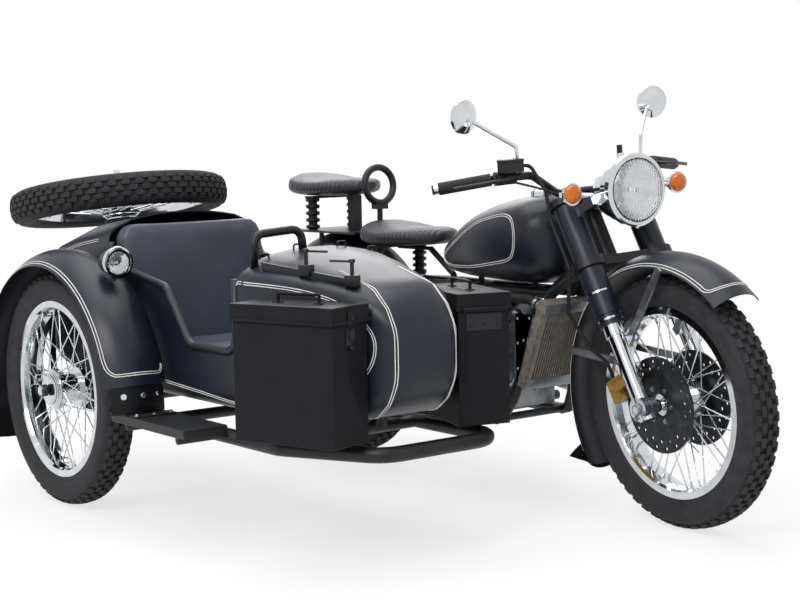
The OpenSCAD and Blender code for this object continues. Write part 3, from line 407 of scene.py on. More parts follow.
class Skin:
    """Outer surface of a CAD node that trim is laid on."""

    def __init__(self, node: str) -> None:
        """Takes the surface of a CAD node, by its name."""
        mesh = frame["nodes"][node].data
        self.tree = BVHTree.FromPolygons([v.co for v in mesh.vertices], [p.vertices for p in mesh.polygons])

    def cast(self, start: Vector, aim: Vector, lift_mm: float = 0.4) -> tuple[Vector, Vector]:
        """Finds a place on the surface.

        Args:
            start: Point outside the surface.
            aim: Point that a ray from start goes to.
            lift_mm: Height of the result above the surface.

        Returns:
            The place, and the surface's normal there.
        """
        spot, normal, _, _ = self.tree.ray_cast(start, (aim - start).normalized())
        if spot is None:
            spot, normal, _, _ = self.tree.find_nearest(start)
        return spot + normal * lift_mm * MM, normal


class Solid:
    """Mesh under construction by bmesh operators, in row metres."""

    def __init__(self) -> None:
        """Starts with an empty mesh."""
        self.bm = bmesh.new()

    def block(self, size: Sequence[float], place: Matrix, bevel: float = 0.0, segments: int = 2) -> "Solid":
        """Adds a block with rounded edges.

        Args:
            size: Lengths along the axes of place, in millimetres.
            place: Middle and axes of the block.
            bevel: Radius of the edges, in millimetres.
            segments: Faces across an edge.

        Returns:
            The solid.
        """
        scale = Matrix.Diagonal((*[s * MM for s in size], 1))
        made = bmesh.ops.create_cube(self.bm, size=1.0, matrix=place @ scale)
        if bevel:
            edges = list({e for v in made["verts"] for e in v.link_edges})
            bmesh.ops.bevel(self.bm, geom=edges, offset=bevel * MM, offset_type="OFFSET", segments=segments,
                            profile=0.5, affect="EDGES", material=-1)
        return self

    def rod(self, a: Vector, b: Vector, radius: float, tip: Optional[float] = None,
            sides: int = 16) -> "Solid":
        """Adds a round or many-sided bar between two points, with radii in millimetres."""
        d = b - a
        place = Matrix.Translation((a + b) / 2) @ d.to_track_quat("Z", "Y").to_matrix().to_4x4()
        bmesh.ops.create_cone(self.bm, cap_ends=True, cap_tris=False, segments=sides, radius1=radius * MM,
                              radius2=(radius if tip is None else tip) * MM, depth=d.length, matrix=place)
        return self

    def bar(self, place: Matrix, a: Sequence[float], b: Sequence[float], radius: float,
            tip: Optional[float] = None, sides: int = 16) -> "Solid":
        """Adds a bar as rod does, between two points in the axes of place, in millimetres."""
        return self.rod(place @ (Vector(a) * MM), place @ (Vector(b) * MM), radius, tip, sides)

    def strip(self, a: Vector, b: Vector, width: float, height: float, bevel: float = 1.0) -> "Solid":
        """Adds a flat bar between two points, with its width level and its sizes in millimetres."""
        d = b - a
        place = Matrix.Translation((a + b) / 2) @ d.to_track_quat("X", "Z").to_matrix().to_4x4()
        return self.block((d.length / MM, width, height), place, bevel)

    def sheet(self, rows: Sequence[Path], thick: float) -> "Solid":
        """Adds a curved sheet over a grid of points, with its thickness in millimetres."""
        grid = [[self.bm.verts.new(point) for point in row] for row in rows]
        faces = [self.bm.faces.new((a, b, d, c)) for low, high in zip(grid, grid[1:])
                 for a, b, c, d in zip(low, low[1:], high, high[1:])]
        bmesh.ops.solidify(self.bm, geom=faces, thickness=thick * MM)
        return self

    def bolt(self, place: Vector, out: Vector, across: float = 12.0) -> "Solid":
        """Adds a hexagon head on a washer, with its size across corners in millimetres."""
        washer = out.normalized() * 1.6 * MM
        head = out.normalized() * across * 0.4 * MM
        self.rod(place, place + washer, across * 0.72, sides=20)
        return self.rod(place + washer, place + washer + head, across / 2, across * 0.47, 6)

    def screw(self, place: Matrix, at: Sequence[float], out: Sequence[float], across: float) -> "Solid":
        """Adds a bolt as bolt does, at a point and along a direction in the axes of place."""
        return self.bolt(place @ (Vector(at) * MM), place.to_3x3() @ Vector(out), across)

    def turned(self, profile: Sequence[tuple[float, float]], place: Matrix, steps: int = 48) -> "Solid":
        """Adds a turned shape about the Z axis of place.

        Args:
            profile: Pairs of distance along the axis and radius, in millimetres.
            place: Axes of the shape.
            steps: Faces round the axis.

        Returns:
            The solid.
        """
        verts = [self.bm.verts.new(place @ Vector((r * MM, 0, a * MM))) for a, r in profile]
        edges = [self.bm.edges.new(pair) for pair in zip(verts, verts[1:])]
        bmesh.ops.spin(self.bm, geom=verts + edges, cent=place.translation,
                       axis=(place.to_3x3() @ Vector((0, 0, 1))).normalized(), dvec=(0, 0, 0),
                       angle=2 * math.pi, steps=steps, use_merge=True, use_normal_flip=False,
                       use_duplicate=False)
        bmesh.ops.remove_doubles(self.bm, verts=self.bm.verts, dist=1e-6)
        return self

    def tube(self, paths: Sequence[Path], radius: float, closed: bool = False) -> "Solid":
        """Adds round tubes along paths, with the radius in millimetres."""
        curve = bpy.data.curves.new("tube", "CURVE")
        curve.dimensions = "3D"
        curve.bevel_depth = radius * MM
        curve.bevel_resolution = 2
        curve.use_fill_caps = True
        for path in paths:
            spline = curve.splines.new("POLY")
            spline.points.add(len(path) - 1)
            spline.points.foreach_set("co", [c for p in path for c in (*p, 1)])
            spline.use_cyclic_u = closed
        holder = bpy.data.objects.new("tube", curve)
        bpy.context.scene.collection.objects.link(holder)
        mesh = bpy.data.meshes.new_from_object(holder.evaluated_get(bpy.context.evaluated_depsgraph_get()))
        self.bm.from_mesh(mesh)
        bpy.data.meshes.remove(mesh)
        bpy.data.objects.remove(holder)
        bpy.data.curves.remove(curve)
        return self

    def piece(self, name: str, finish: Finish, body: Body, *nodes: str,
              angle: float = 35.0) -> bpy.types.Object:
        """Makes the mesh into a piece of the outfit.

        Args:
            name: Name of the piece.
            finish: Finish over all of it.
            body: Body that it rides on.
            nodes: CAD nodes that it stands for.
            angle: Edges sharper than this stay sharp, in degrees.

        Returns:
            The piece.
        """
        bmesh.ops.recalc_face_normals(self.bm, faces=self.bm.faces)
        mesh = bpy.data.meshes.new(name)
        self.bm.to_mesh(mesh)
        self.bm.free()
        mesh.polygons.foreach_set("use_smooth", [True] * len(mesh.polygons))
        mesh.set_sharp_from_angle(angle=math.radians(angle))
        made = bpy.data.objects.new(name, mesh)
        bpy.context.scene.collection.objects.link(made)
        return enrol(made, finish, body, *nodes)


def enrol(piece: bpy.types.Object, finish: Finish, body: Body, *nodes: str) -> bpy.types.Object:
    """Gives a piece its finish and its body, and hides the CAD nodes that it stands for."""
    piece.data.materials.clear()
    piece.data.materials.append(finish.material())
    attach(piece, body.value)
    if nodes:
        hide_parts(*nodes)
    LOG.info("piece %s on %s, %d faces", piece.name, body.value, len(piece.data.polygons))
    return piece


@dataclass
class Bodywork:
    """CAD nodes with their finishes, the swept and lofted ones as smooth copies."""

    sharp_deg: float = 34.0
    edge_mm: float = 3.0

    def dress(self) -> None:
        """Gives every CAD node its finish."""
        for finish, nodes in DRESS.items():
            for node in nodes:
                piece = frame["nodes"][node]
                piece.data.materials.clear()
                piece.data.materials.append(finish.material())

    def build(self) -> None:
        """Makes smooth copies of the faceted nodes and rounds the sheet boxes' edges."""
        for finish, nodes in SMOOTH.items():
            for node in nodes:
                copy = Solid()
                copy.bm.from_mesh(frame["nodes"][node].data)
                bmesh.ops.remove_doubles(copy.bm, verts=copy.bm.verts, dist=2e-5)
                copy.piece(node + "_skin", finish, body_of(node), node, angle=self.sharp_deg)
        for node in (*DRESS[BOX], "step_board", "engine"):
            piece = frame["nodes"][node]
            piece.modifiers.new("weld", "WELD").merge_threshold = 1e-5
            bevel = piece.modifiers.new("edges", "BEVEL")
            bevel.width = self.edge_mm * MM
            bevel.segments = 3
            bevel.limit_method = "ANGLE"


@dataclass
class Wheel:
    """Block-treaded tyre in place of a plain CAD one, with the small fittings of its wheel."""

    name: str
    body: Body
    hub: Matrix
    blocks: int = 52

    # Half of the carcass: radius and distance from the middle
    WALL = ((241.6, 30.2), (256, 30.2), (257, 37), (262, 41), (264, 42.6), (267, 42.4), (269, 44),
            (282, 47.3), (284, 48.5), (287, 48.2), (296, 49), (308, 48.4), (314, 46.5), (319, 42),
            (323.5, 33), (327.5, 19), (329, 6))
    # Tread rows: distance from the middle, radius of a block's top, tilt in degrees, length, width, offset
    ROWS = ((0, 338, 0, 27, 15, 0.0), (17.5, 336.2, 8, 27, 14, 0.5), (-17.5, 336.2, -8, 27, 14, 0.5),
            (33.5, 330.6, 31, 25, 15, 0.0), (-33.5, 330.6, -31, 25, 15, 0.0))
    BLOCK_TALL = 11
    # Spoke rows: side, direction of the crossing, distance out on the flange
    SPOKES = ((-1, -1, 4), (-1, 1, -4), (1, 1, 4), (1, -1, -4))
    SPOKES_IN_ROW = 10
    FLANGE_R = 53
    NIPPLE_R = 229.3
    # Turned end of the hub: distance along the axle and radius
    HUB_END = ((44.3, 40.5), (44.3, 56), (47, 56.5), (48, 52), (50.5, 52), (51.5, 48.5), (54, 48.5), (55, 45),
               (58.5, 44.6), (60.5, 42), (60.5, 40.5), (44.3, 40.5))

    @property
    def axle(self) -> Matrix:
        """Matrix of axes with Z along the axle."""
        return self.hub @ Matrix.Rotation(-math.pi / 2, 4, "X")

    def build(self) -> None:
        """Makes the tyre and the wheel's fittings."""
        self.tyre()
        self.fittings()

    def tyre(self) -> None:
        """Turns the carcass and sets the tread blocks round it."""
        solid = Solid()
        half = [(y, r) for r, y in self.WALL]
        solid.turned([*half, *[(-a, r) for a, r in reversed(half)]], self.axle, 112)
        for across, top, tilt, length, width, offset in self.ROWS:
            for i in range(self.blocks):
                turn = Matrix.Rotation(2 * math.pi * (i + offset) / self.blocks, 4, "Z")
                lean = Matrix.Rotation(math.radians(-tilt), 4, "Y")
                sink = Matrix.Translation((-self.BLOCK_TALL / 2 * MM, 0, 0))
                spot = Matrix.Translation(Vector((top, 0, across)) * MM) @ lean @ sink
                solid.block((self.BLOCK_TALL, length, width), self.axle @ turn @ spot, 1.6, 1)
        solid.piece(self.name + "_tread", TYRE, self.body, self.name + "_tyre", angle=30)

    def fittings(self) -> None:
        """Sets the spokes' nipples, the valve and the turned rings of the hub."""
        solid = Solid()
        for side, way, out in self.SPOKES:
            for i in range(self.SPOKES_IN_ROW):
                shift = (0.5 if way > 0 else 0) + (0.25 if side > 0 else 0)
                start = 2 * math.pi * (i + shift) / self.SPOKES_IN_ROW
                end = start + way * math.radians(42)
                inner = Vector((math.cos(start), 0, math.sin(start))) * self.FLANGE_R
                inner.y = side * (36 + out)
                outer = Vector((math.cos(end), 0, math.sin(end))) * self.NIPPLE_R
                outer.y = side * (7 + out / 2)
                back = (inner - outer).normalized()
                solid.bar(self.hub, outer, outer + back * 17, 3.6, 2.9, 8)
        solid.bar(self.hub, (214, 0, 78), (183, 0, 67), 4, 3, 10)
        for side in (1, -1):
            solid.turned([(side * a, r) for a, r in self.HUB_END], self.axle)
        solid.piece(self.name + "_fittings", CHROME, self.body)


@dataclass
class Padding:
    """Stuffed vinyl seat piece, blown up from its CAD block by a cloth simulation."""

    node: str
    corner_mm: float = 0.0
    voxel_mm: float = 6.0
    swell_mm: float = 6.0
    pressure: float = 4.0

    def build(self) -> None:
        """Makes the padded piece in place of its CAD node."""
        copy = Solid()
        copy.bm.from_mesh(frame["nodes"][self.node].data)
        bmesh.ops.remove_doubles(copy.bm, verts=copy.bm.verts, dist=1e-5)
        if self.corner_mm:
            self.round_top(copy)
        piece = copy.piece(self.node + "_padding", VINYL, Body.CHASSIS, self.node, angle=180)
        remesh = piece.modifiers.new("voxels", "REMESH")
        remesh.mode = "VOXEL"
        remesh.voxel_size = self.voxel_mm * MM
        remesh.use_smooth_shade = True
        self.apply(piece)
        self.swell(piece)
        soften = piece.modifiers.new("soften", "SMOOTH")
        soften.factor = 0.5
        soften.iterations = 4
        rounds = piece.modifiers.new("rounds", "SUBSURF")
        rounds.levels = rounds.render_levels = 1
        self.apply(piece)

    def round_top(self, solid: Solid) -> None:
        """Rounds the two top corners that show from the front."""
        bmesh.ops.dissolve_limit(solid.bm, angle_limit=0.02, verts=solid.bm.verts, edges=solid.bm.edges)
        crest = max(v.co.z for v in solid.bm.verts)
        edges = []
        for edge in solid.bm.edges:
            along = edge.verts[1].co - edge.verts[0].co
            if min(v.co.z for v in edge.verts) > crest - 10 * MM and abs(along.x) > abs(along.y):
                edges.append(edge)
        bmesh.ops.bevel(solid.bm, geom=edges, offset=self.corner_mm * MM, offset_type="OFFSET", segments=6,
                        profile=0.5, affect="EDGES", material=-1)

    def swell(self, piece: bpy.types.Object) -> None:
        """Runs the cloth and holds each point within the swell's limit."""
        rest = [v.co.copy() for v in piece.data.vertices]
        cloth = piece.modifiers.new("cloth", "CLOTH")
        cloth.settings.use_pressure = True
        cloth.settings.uniform_pressure_force = self.pressure
        cloth.settings.effector_weights.gravity = 0.0
        cloth.settings.quality = 4
        cloth.point_cache.frame_start = 1
        cloth.point_cache.frame_end = 20
        scene = bpy.context.scene
        for number in range(1, 21):
            scene.frame_set(number)
        self.apply(piece)
        scene.frame_set(1)
        for vertex, start in zip(piece.data.vertices, rest):
            shift = vertex.co - start
            if shift.length > self.swell_mm * MM:
                vertex.co = start + shift.normalized() * self.swell_mm * MM

    @staticmethod
    def apply(piece: bpy.types.Object) -> None:
        """Replaces a piece's mesh by what its modifiers make of it."""
        mesh = bpy.data.meshes.new_from_object(piece.evaluated_get(bpy.context.evaluated_depsgraph_get()))
        piece.modifiers.clear()
        piece.data = mesh


@dataclass
class CoachLines:
    """Twin white lines over the tank, the tub and the mudguards."""

    axes: BikeAxes
    line_mm: float = 1.35
    pitch_mm: float = 5.6
    # Radius at which angles round the nose and the mudguards are laid flat
    nose_arc_mm: float = 300.0
    guard_arc_mm: float = 400.0

    # Runs on upright panels: X and Z in bike axes
    TANK = ((-150, 690), (-60, 738), (49, 788), (140, 812), (205, 818), (238, 800), (249, 762), (243, 716),
            (214, 693), (130, 678), (28, 664), (-80, 658), (-140, 664))
    TUB = ((105, 684), (300, 672), (420, 648), (486, 615), (530, 562), (522, 497), (469, 436), (400, 402),
           (300, 378), (200, 368), (69, 369), (-73, 379), (-269, 390), (-430, 400))
    TAIL = ((-1062, 622), (-1000, 664), (-900, 702), (-760, 740), (-620, 762))
    # Turns at the mudguards' front ends: degrees round and distance aside
    FRONT_TURN = ((58.4, -68), (56.6, -58), (55.6, -30), (55.4, 0), (55.6, 30), (56.6, 58), (58.4, 68))
    SIDE_TURN = ((22, -85.5), (18.6, -82), (16.4, -73), (15.4, -58), (15.2, 0), (15.2, 58), (16, 74),
                 (18.6, 83))

    def twin(self, name: str, body: Body, paths: Sequence[Sequence[tuple[float, float]]],
             place: Callable[[float, float], Vector], closed: bool = False) -> None:
        """Lays twin lines along flat paths.

        Args:
            name: Name of the piece.
            body: Body that carries the lines.
            paths: Paths in the flat coordinates of a panel, in millimetres.
            place: Row place of a point in those coordinates.
            closed: Whether the paths are loops.
        """
        laid = []
        for flat in paths:
            path = curve_through([Vector(p) for p in flat], 6, closed)
            n = len(path)
            for half in (-self.pitch_mm / 2, self.pitch_mm / 2):
                run = []
                for i, point in enumerate(path):
                    after = path[(i + 1) % n if closed else min(i + 1, n - 1)]
                    ahead = after - path[i - 1 if closed else max(i - 1, 0)]
                    aside = Vector((-ahead.y, ahead.x)).normalized() * half
                    run.append(place(point.x + aside.x, point.y + aside.y))
                laid.append(run)
        Solid().tube(laid, self.line_mm, closed).piece(name, LINE, body)

    def build(self) -> None:
        """Makes the lines of every panel."""
        for side, word in ((-1, "right"), (1, "left")):
            tank = self.upright("fuel_tank", 0, side * 300)
            self.twin(f"tank_lines_{word}", Body.CHASSIS, [self.TANK], tank, True)
            tub = self.upright("sidecar_tub", TUB_Y, side * 400)
            self.twin(f"tub_lines_{word}", Body.CHASSIS, [self.TUB, self.TAIL], tub)
        self.nose()
        self.guards()

    def upright(self, node: str, middle: float, out: float) -> Callable[[float, float], Vector]:
        """Places X and Z on the side of a CAD node, seen from a distance beside its middle plane."""
        skin = Skin(node)
        return lambda x, z: skin.cast(self.axes.at(x, middle + out, z), self.axes.at(x, middle, z))[0]

    def nose(self) -> None:
        """Two arcs from the deck round the nose to its underside."""
        skin = Skin("sidecar_tub")

        def place(turn: float, y: float) -> Vector:
            """Place on the nose at an angle above its core, laid flat as an arc."""
            a = turn / self.nose_arc_mm
            far = self.axes.at(330 + 600 * math.cos(a), y, 520 + 600 * math.sin(a))
            return skin.cast(far, self.axes.at(330, y, 520))[0]

        arcs = [[(self.nose_arc_mm * math.radians(83 - 6 * k), y) for k in range(23)] for y in (-822, -638)]
        self.twin("nose_lines", Body.CHASSIS, arcs, place)

    def guards(self) -> None:
        """Lines along the edges of the front and the sidecar's mudguards."""
        def flat(turns: Sequence[tuple[float, float]]) -> Flat:
            """Run with its degrees laid flat."""
            return [(self.guard_arc_mm * math.radians(a), y) for a, y in turns]

        def edge(start: int, end: int, y: float) -> Flat:
            """Run along an edge, in steps of three degrees."""
            return flat([(a, y) for a in range(start, end, 3 if end > start else -3)])

        def over(arch: Arch) -> Callable[[float, float], Vector]:
            """Places a run just above a mudguard."""
            return lambda turn, y: arch.at(turn / self.guard_arc_mm, y, 0.5)

        front = [*edge(208, 60, -69), *flat(self.FRONT_TURN), *edge(61, 209, 69)]
        self.twin("front_guard_lines", Body.STEERING, [front], over(Arch(self.axes.front_hub(), 398, 98.2)))
        side = [*edge(192, 26, -86), *flat(self.SIDE_TURN)]
        outer = Arch(self.axes.frame_at(*SIDE_GUARD), 430, SIDE_GUARD_ACROSS)
        self.twin("side_guard_lines", Body.CHASSIS, [side], over(outer))


@dataclass
class SteeringTrim:
    """Small fittings on what steers: fork, mudguard, brakes, handlebar and headlamp."""

    axes: BikeAxes

    # Route of a cable from a switch housing to the headlamp, in bike axes
    CABLE = ((374, 246, 934), (428, 206, 916), (470, 140, 890), (486, 70, 884), (500, 30, 900))

    def build(self) -> None:
        """Makes every fitting."""
        self.fork()
        self.flap()
        self.brakes()
        self.controls()

    def fork(self) -> None:
        """Rings round the shrouds and the nuts of the axle."""
        fork = self.axes.fork()
        rings, nuts = Solid(), Solid()
        for side in (-1, 1):
            leg = fork @ Matrix.Translation((0, side * 118 * MM, 0))
            for at, r in ((329, 36.2), (252, 33.2)):
                low, high, crest = at - 2.4, at + 2.4, r + 1.6
                rings.turned([(low, r), (low, crest), (high, crest), (high, r), (low, r)], leg)
            nuts.bar(leg, (0, side * 22.4, 0), (0, side * 29, 0), 17, 16, 6)
            for x in (-18, 18):
                nuts.screw(leg, (x, side * 22.2, -18), (0, side, 0), 10)
            for at in (190, 112):
                nuts.screw(fork, (0, side * 83.8, at), (0, -side, 0), 9)
        rings.piece("shroud_rings", CHROME, Body.STEERING)
        nuts.piece("axle_nuts", STEEL, Body.STEERING)

    def flap(self) -> None:
        """Leaf of rubber behind the front mudguard."""
        hub = self.axes.front_hub()
        rows = []
        for k in range(7):
            row = []
            for j in range(25):
                u = j / 12 - 1
                a = math.radians(209 + (k / 3 - 1) * 6.5 * max(0.02, 1 - u * u))
                r = 402.5 - 37 * min(1.0, abs(u) * 125 / 76) ** 2
                row.append(hub @ (Vector((r * math.cos(a), 125 * u, r * math.sin(a))) * MM))
            rows.append(row)
        Solid().sheet(rows, 3).piece("front_flap", RUBBER, Body.STEERING)

    def brakes(self) -> None:
        """Pistons and bleed screws of the calipers, and the discs' bolts on the hub."""
        fork, hub = self.axes.fork(), self.axes.front_hub()
        cups, bolts = Solid(), Solid()
        for side in (-1, 1):
            for x, z in ((-118, 106), (-100, 80)):
                cups.bar(fork, (x, side * 92, z), (x, side * 101, z), 15, 12.5, 20)
            cups.bar(fork, (-139, side * 72, 116), (-146, side * 72, 122), 5, 4, 10)
            for i in range(6):
                a = math.radians(60 * i)
                bolts.screw(hub, (46 * math.cos(a), side * 66.5, 46 * math.sin(a)), (0, side, 0), 10)
        cups.piece("caliper_cups", GOLD, Body.STEERING)
        bolts.piece("disc_bolts", STEEL, Body.FRONT_WHEEL)

    def controls(self) -> None:
        """Ends of the bar, switch housings, reservoir lid, cables and the lamp's key."""
        bike = self.axes.steered()

        def at(x: float, y: float, z: float) -> Vector:
            """Row place of a point in bike axes that steers."""
            return bike @ (Vector((x, y, z)) * MM)

        ends, black, cables = Solid(), Solid(), Solid()
        for side in (-1, 1):
            ends.rod(at(281, side * 417, 925.8), at(274, side * 430, 924.2), 13.8, 12.6, 24)
            black.rod(at(370.6, side * 225, 943.7), at(362.6, side * 252, 943), 18.5, sides=24)
            route = [at(x, side * y, z) for x, y, z in self.CABLE]
            cables.tube([curve_through(route)], 3)
        black.block((47, 59, 7), bike @ Matrix.Translation(Vector((387.7, -249.4, 990)) * MM), 2)
        for x in (372, 403):
            for y in (-272, -227):
                ends.rod(at(x, y, 993), at(x, y, 995), 3, sides=12)
        ends.rod(at(548, 0, 974), at(545, 0, 990), 12, 10.5, 24)
        black.block((5, 17, 24), bike @ Matrix.Translation(Vector((543, 0, 1001)) * MM), 1.5)
        ends.bolt(at(601, 0, 796), bike.to_3x3() @ Vector((0, 0, -1)), 9)
        ends.piece("bright_controls", CHROME, Body.STEERING)
        black.piece("black_controls", BLACK, Body.STEERING)
        cables.piece("control_cables", RUBBER, Body.STEERING)


@dataclass
class BikeTrim:
    """Fittings on the motorcycle: radiator, engine, tank and rear axle."""

    axes: BikeAxes

    def build(self) -> None:
        """Makes every fitting."""
        self.radiator()
        self.engine()
        at = self.axes.at
        Solid().turned([(868, 34.3), (868, 36.2), (884, 36.2), (889, 31), (890, 0)],
                       self.axes.frame_at(214, 0, 0)).piece("filler_cap", CHROME, Body.CHASSIS)
        nuts = Solid()
        axle_x, axle_z = -self.axes.wheelbase / 2, self.axes.wheel_r
        for side in (-1, 1):
            nuts.rod(at(axle_x, side * 158, axle_z), at(axle_x, side * 169, axle_z), 17, 16, 6)
        nuts.piece("rear_axle_nuts", STEEL, Body.CHASSIS)

    def radiator(self) -> None:
        """Tanks, cap, side plate with rivets, and the clamps of the hoses."""
        at = self.axes.at
        lean = math.atan2(94, 247)
        core = self.axes.frame_at(271, 0, 328) @ Matrix.Rotation(lean, 4, "Y")
        tanks = Solid()
        for z, tall in ((16.5, 32), (249, 31)):
            tanks.block((2.4, 258, tall), core @ Matrix.Translation(Vector((0.6, 0, z)) * MM), 0.8)
        tanks.turned([(284, 16), (284, 24), (291, 24), (294, 20), (295, 0)],
                     core @ Matrix.Translation(Vector((-17, 70, 0)) * MM))
        tanks.piece("radiator_tanks", ALLOY, Body.CHASSIS)
        plate, rivets = Solid(), Solid()
        low, high, y = 352, 545, -136.2
        plate.sheet([[at(243, y, low), at(240, y, high)], [at(246, y, low), at(314, y, high)]], 1.6)
        plate.piece("radiator_side", GALVANISED, Body.CHASSIS)
        for x, z in ((250, 388), (250, 460), (250, 530), (299, 534), (274, 470)):
            rivets.rod(at(x, -137, z), at(x, -139.6, z), 4, 2.4, 14)
        out, inward = Vector((-0.935, 0, 0.355)), Vector((0, 1, 0))
        clamps = (((311.5, -112, 570.5), out, 4), ((78, -150, 532), inward, 26), ((232, 0, 362), out, 4))
        for start, way, along in clamps:
            a = Vector(start) + way * along
            rivets.rod(at(*a), at(*(a + way * 9)), 16.6, sides=28)
            rivets.block((9, 9, 7), self.axes.frame_at(*(a + way * 4.5 + Vector((0, 0, 17)))), 1.5)
        rivets.piece("radiator_clamps", STEEL, Body.CHASSIS)

    def engine(self) -> None:
        """Fins, cover bolts and the rings of the exhaust ports."""
        at = self.axes.at
        fins, bolts = Solid(), Solid()
        for z in (418, 436, 454, 472, 490):
            fins.block((174, 210, 4), self.axes.frame_at(50, 0, z), 1)
        fins.piece("engine_fins", ALLOY, Body.CHASSIS)
        for side in (-1, 1):
            for i in range(8):
                a = math.radians(45 * i + 22)
                spot = at(-20 + 63 * math.cos(a), side * 124.2, 330 + 63 * math.sin(a))
                bolts.bolt(spot, Vector((0, side, 0)), 11)
            for x in (-2, 50, 100):
                bolts.bolt(at(x, side * 66, 572.2), Vector((0, 0, 1)), 12)
            bolts.rod(at(138.4, side * 58, 530), at(150, side * 58, 530), 27, 25, 28)
        bolts.piece("engine_bolts", STEEL, Body.CHASSIS)


@dataclass
class SidecarTrim:
    """Fittings on the sidecar: deck clamps, loops, mudguard bracket, flap, lamp rim and box fittings."""

    axes: BikeAxes

    # Rim of the lamp: distance along its axis and radius
    LAMP_RIM = ((9, 42.3), (9, 44.6), (16, 45.4), (21, 43), (21.5, 37.4), (18.4, 36.6), (18.4, 42.3),
                (9, 42.3))

    def build(self) -> None:
        """Makes every fitting."""
        self.deck()
        self.guard()
        self.boxes()

    def deck(self) -> None:
        """Clamp rail with two screws on the right of the deck, and loops behind the cowl."""
        skin = Skin("sidecar_tub")
        box = self.axes.box(1)

        def top(x: float, y: float, lift: float) -> Vector:
            """Point above the deck, from X and Y in the right box's axes."""
            spot = box @ (Vector((x, y, 0)) * MM)
            spot.z = 1.0
            return skin.cast(spot, spot - Vector((0, 0, 1)))[0] + Vector((0, 0, lift * MM))

        black = Solid()
        black.strip(top(-205, 120, 9), top(92, 120, 9), 9, 20)
        black.strip(top(-205, 127, 1.5), top(92, 127, 1.5), 22, 4)
        along = box.to_3x3() @ Vector((1, 0, 0))
        for x, way in ((-66, 1), (74, -1)):
            foot = top(x, 120, 0)
            place = box.to_3x3().to_4x4()
            place.translation = foot + Vector((0, 0, 14 * MM))
            black.block((34, 26, 30), place, 3)
            head = foot + Vector((0, 0, 62 * MM))
            black.rod(foot + Vector((0, 0, 26 * MM)), head, 5, sides=14)
            black.rod(head, head + Vector((0, 0, 6 * MM)), 9, 7, 16)
            black.rod(head - along * way * 8 * MM, head + along * way * 66 * MM, 3, sides=10)
        for y in (-905, -800, -660, -560):
            spot = Vector(self.axes.at(140, y, 900))
            spot = skin.cast(spot, spot - Vector((0, 0, 1)), 0)[0]
            arch = [(-14, -1), (-13, 10), (-10, 13), (10, 13), (13, 10), (14, -1)]
            black.tube([[spot + Vector((0, a, b)) * MM for a, b in arch]], 2.6)
        black.piece("deck_fittings", BLACK, Body.CHASSIS)

    def guard(self) -> None:
        """Bracket and bolts at the mudguard's front foot, its flap, and the lamp's rim."""
        centre = self.axes.frame_at(*SIDE_GUARD)

        def arched(crown: float, start: float, end: float, half: float) -> list[Path]:
            """Grid of points on an arched sheet between two angles in degrees."""
            arch = Arch(centre, crown, SIDE_GUARD_ACROSS)
            turns = [math.radians(start + (end - start) * k / 6) for k in range(7)]
            return [[arch.at(a, half * (j / 8 - 1)) for j in range(17)] for a in turns]

        Solid().sheet(arched(426, 0.6, 14, 80), 4).piece("guard_bracket", BLACK, Body.CHASSIS)
        Solid().sheet(arched(424, 191, 203, 91), 4).piece("guard_flap", RUBBER, Body.CHASSIS)
        foot = Solid().block((46, 122, 4), self.axes.frame_at(-168, -1070, 318.6), 1)
        foot.piece("guard_foot", BLACK, Body.CHASSIS)
        bolts = Solid()
        a = math.radians(7.4)
        face = Arch(centre, 427, SIDE_GUARD_ACROSS)
        for y in (-52, 0, 50):
            bolts.bolt(face.at(a, y), Vector((math.cos(a), y / SIDE_GUARD_ACROSS, math.sin(a))), 11)
            bolts.bolt(self.axes.at(-160, -1070 + y, 320.6), Vector((0, 0, 1)), 10)
        bolts.bar(self.axes.frame_at(*SIDE_AXLE), (0, -81, 0), (0, -87, 0), 15, 14, 6)
        rim = self.axes.frame_at(*SIDE_LAMP) @ Matrix.Rotation(math.pi / 2, 4, "Y")
        bolts.turned(self.LAMP_RIM, rim)
        bolts.piece("guard_bolts", CHROME, Body.CHASSIS)

    def boxes(self) -> None:
        """Lips, handle ears, latches and hinge leaves of both boxes."""
        for side, lid, hinge in ((1, Body.RIGHT_LID, -1), (-1, Body.LEFT_LID, 1)):
            box = self.axes.box(side)
            word = lid.value.split("_")[0]

            def put(x: float, y: float, z: float) -> Matrix:
                """Matrix of the box's axes at a point."""
                return box @ Matrix.Translation(Vector((x, y, z)) * MM)

            top, fixed, rivets = Solid(), Solid(), Solid()
            for y in (-75, 75):
                top.block((311, 3, 9), put(0, y, 297.5), 1)
            top.block((3, 150, 9), put(-hinge * 155, 0, 297.5), 1)
            top.block((3.4, 30, 34), put(-hinge * 156, 0, 308), 1.2)
            for x in (-62, 62):
                top.block((26, 16, 3), put(x, 0, 337.4), 1)
                for shift in (-9, 9):
                    rivets.bar(box, (x + shift, 0, 338.6), (x + shift, 0, 341), 3.4, 2, 12)
            rivets.bar(box, (-hinge * 157, 0, 306), (-hinge * 161, 0, 306), 5, 4, 16)
            top.piece(word + "_lid_fittings", BOX, lid)
            rivets.piece(word + "_lid_rivets", BLACK, lid)
            fixed.block((3, 34, 40), put(-hinge * 151.6, 0, 262), 1.2)
            fixed.bar(box, (-hinge * 153, 0, 268), (-hinge * 158, 0, 268), 13, 12, 20)
            fixed.block((3, 96, 44), put(hinge * 151.6, 0, 264), 1.2)
            for y in (-36, 0, 36):
                fixed.bar(box, (hinge * 153, y, 256), (hinge * 155.4, y, 256), 4.5, 3, 14)
            fixed.bar(box, (-hinge * 153, 0, 236), (-hinge * 159, 0, 236), 5.5, 4, 14)
            fixed.piece(word + "_box_fittings", BLACK, Body.CHASSIS)


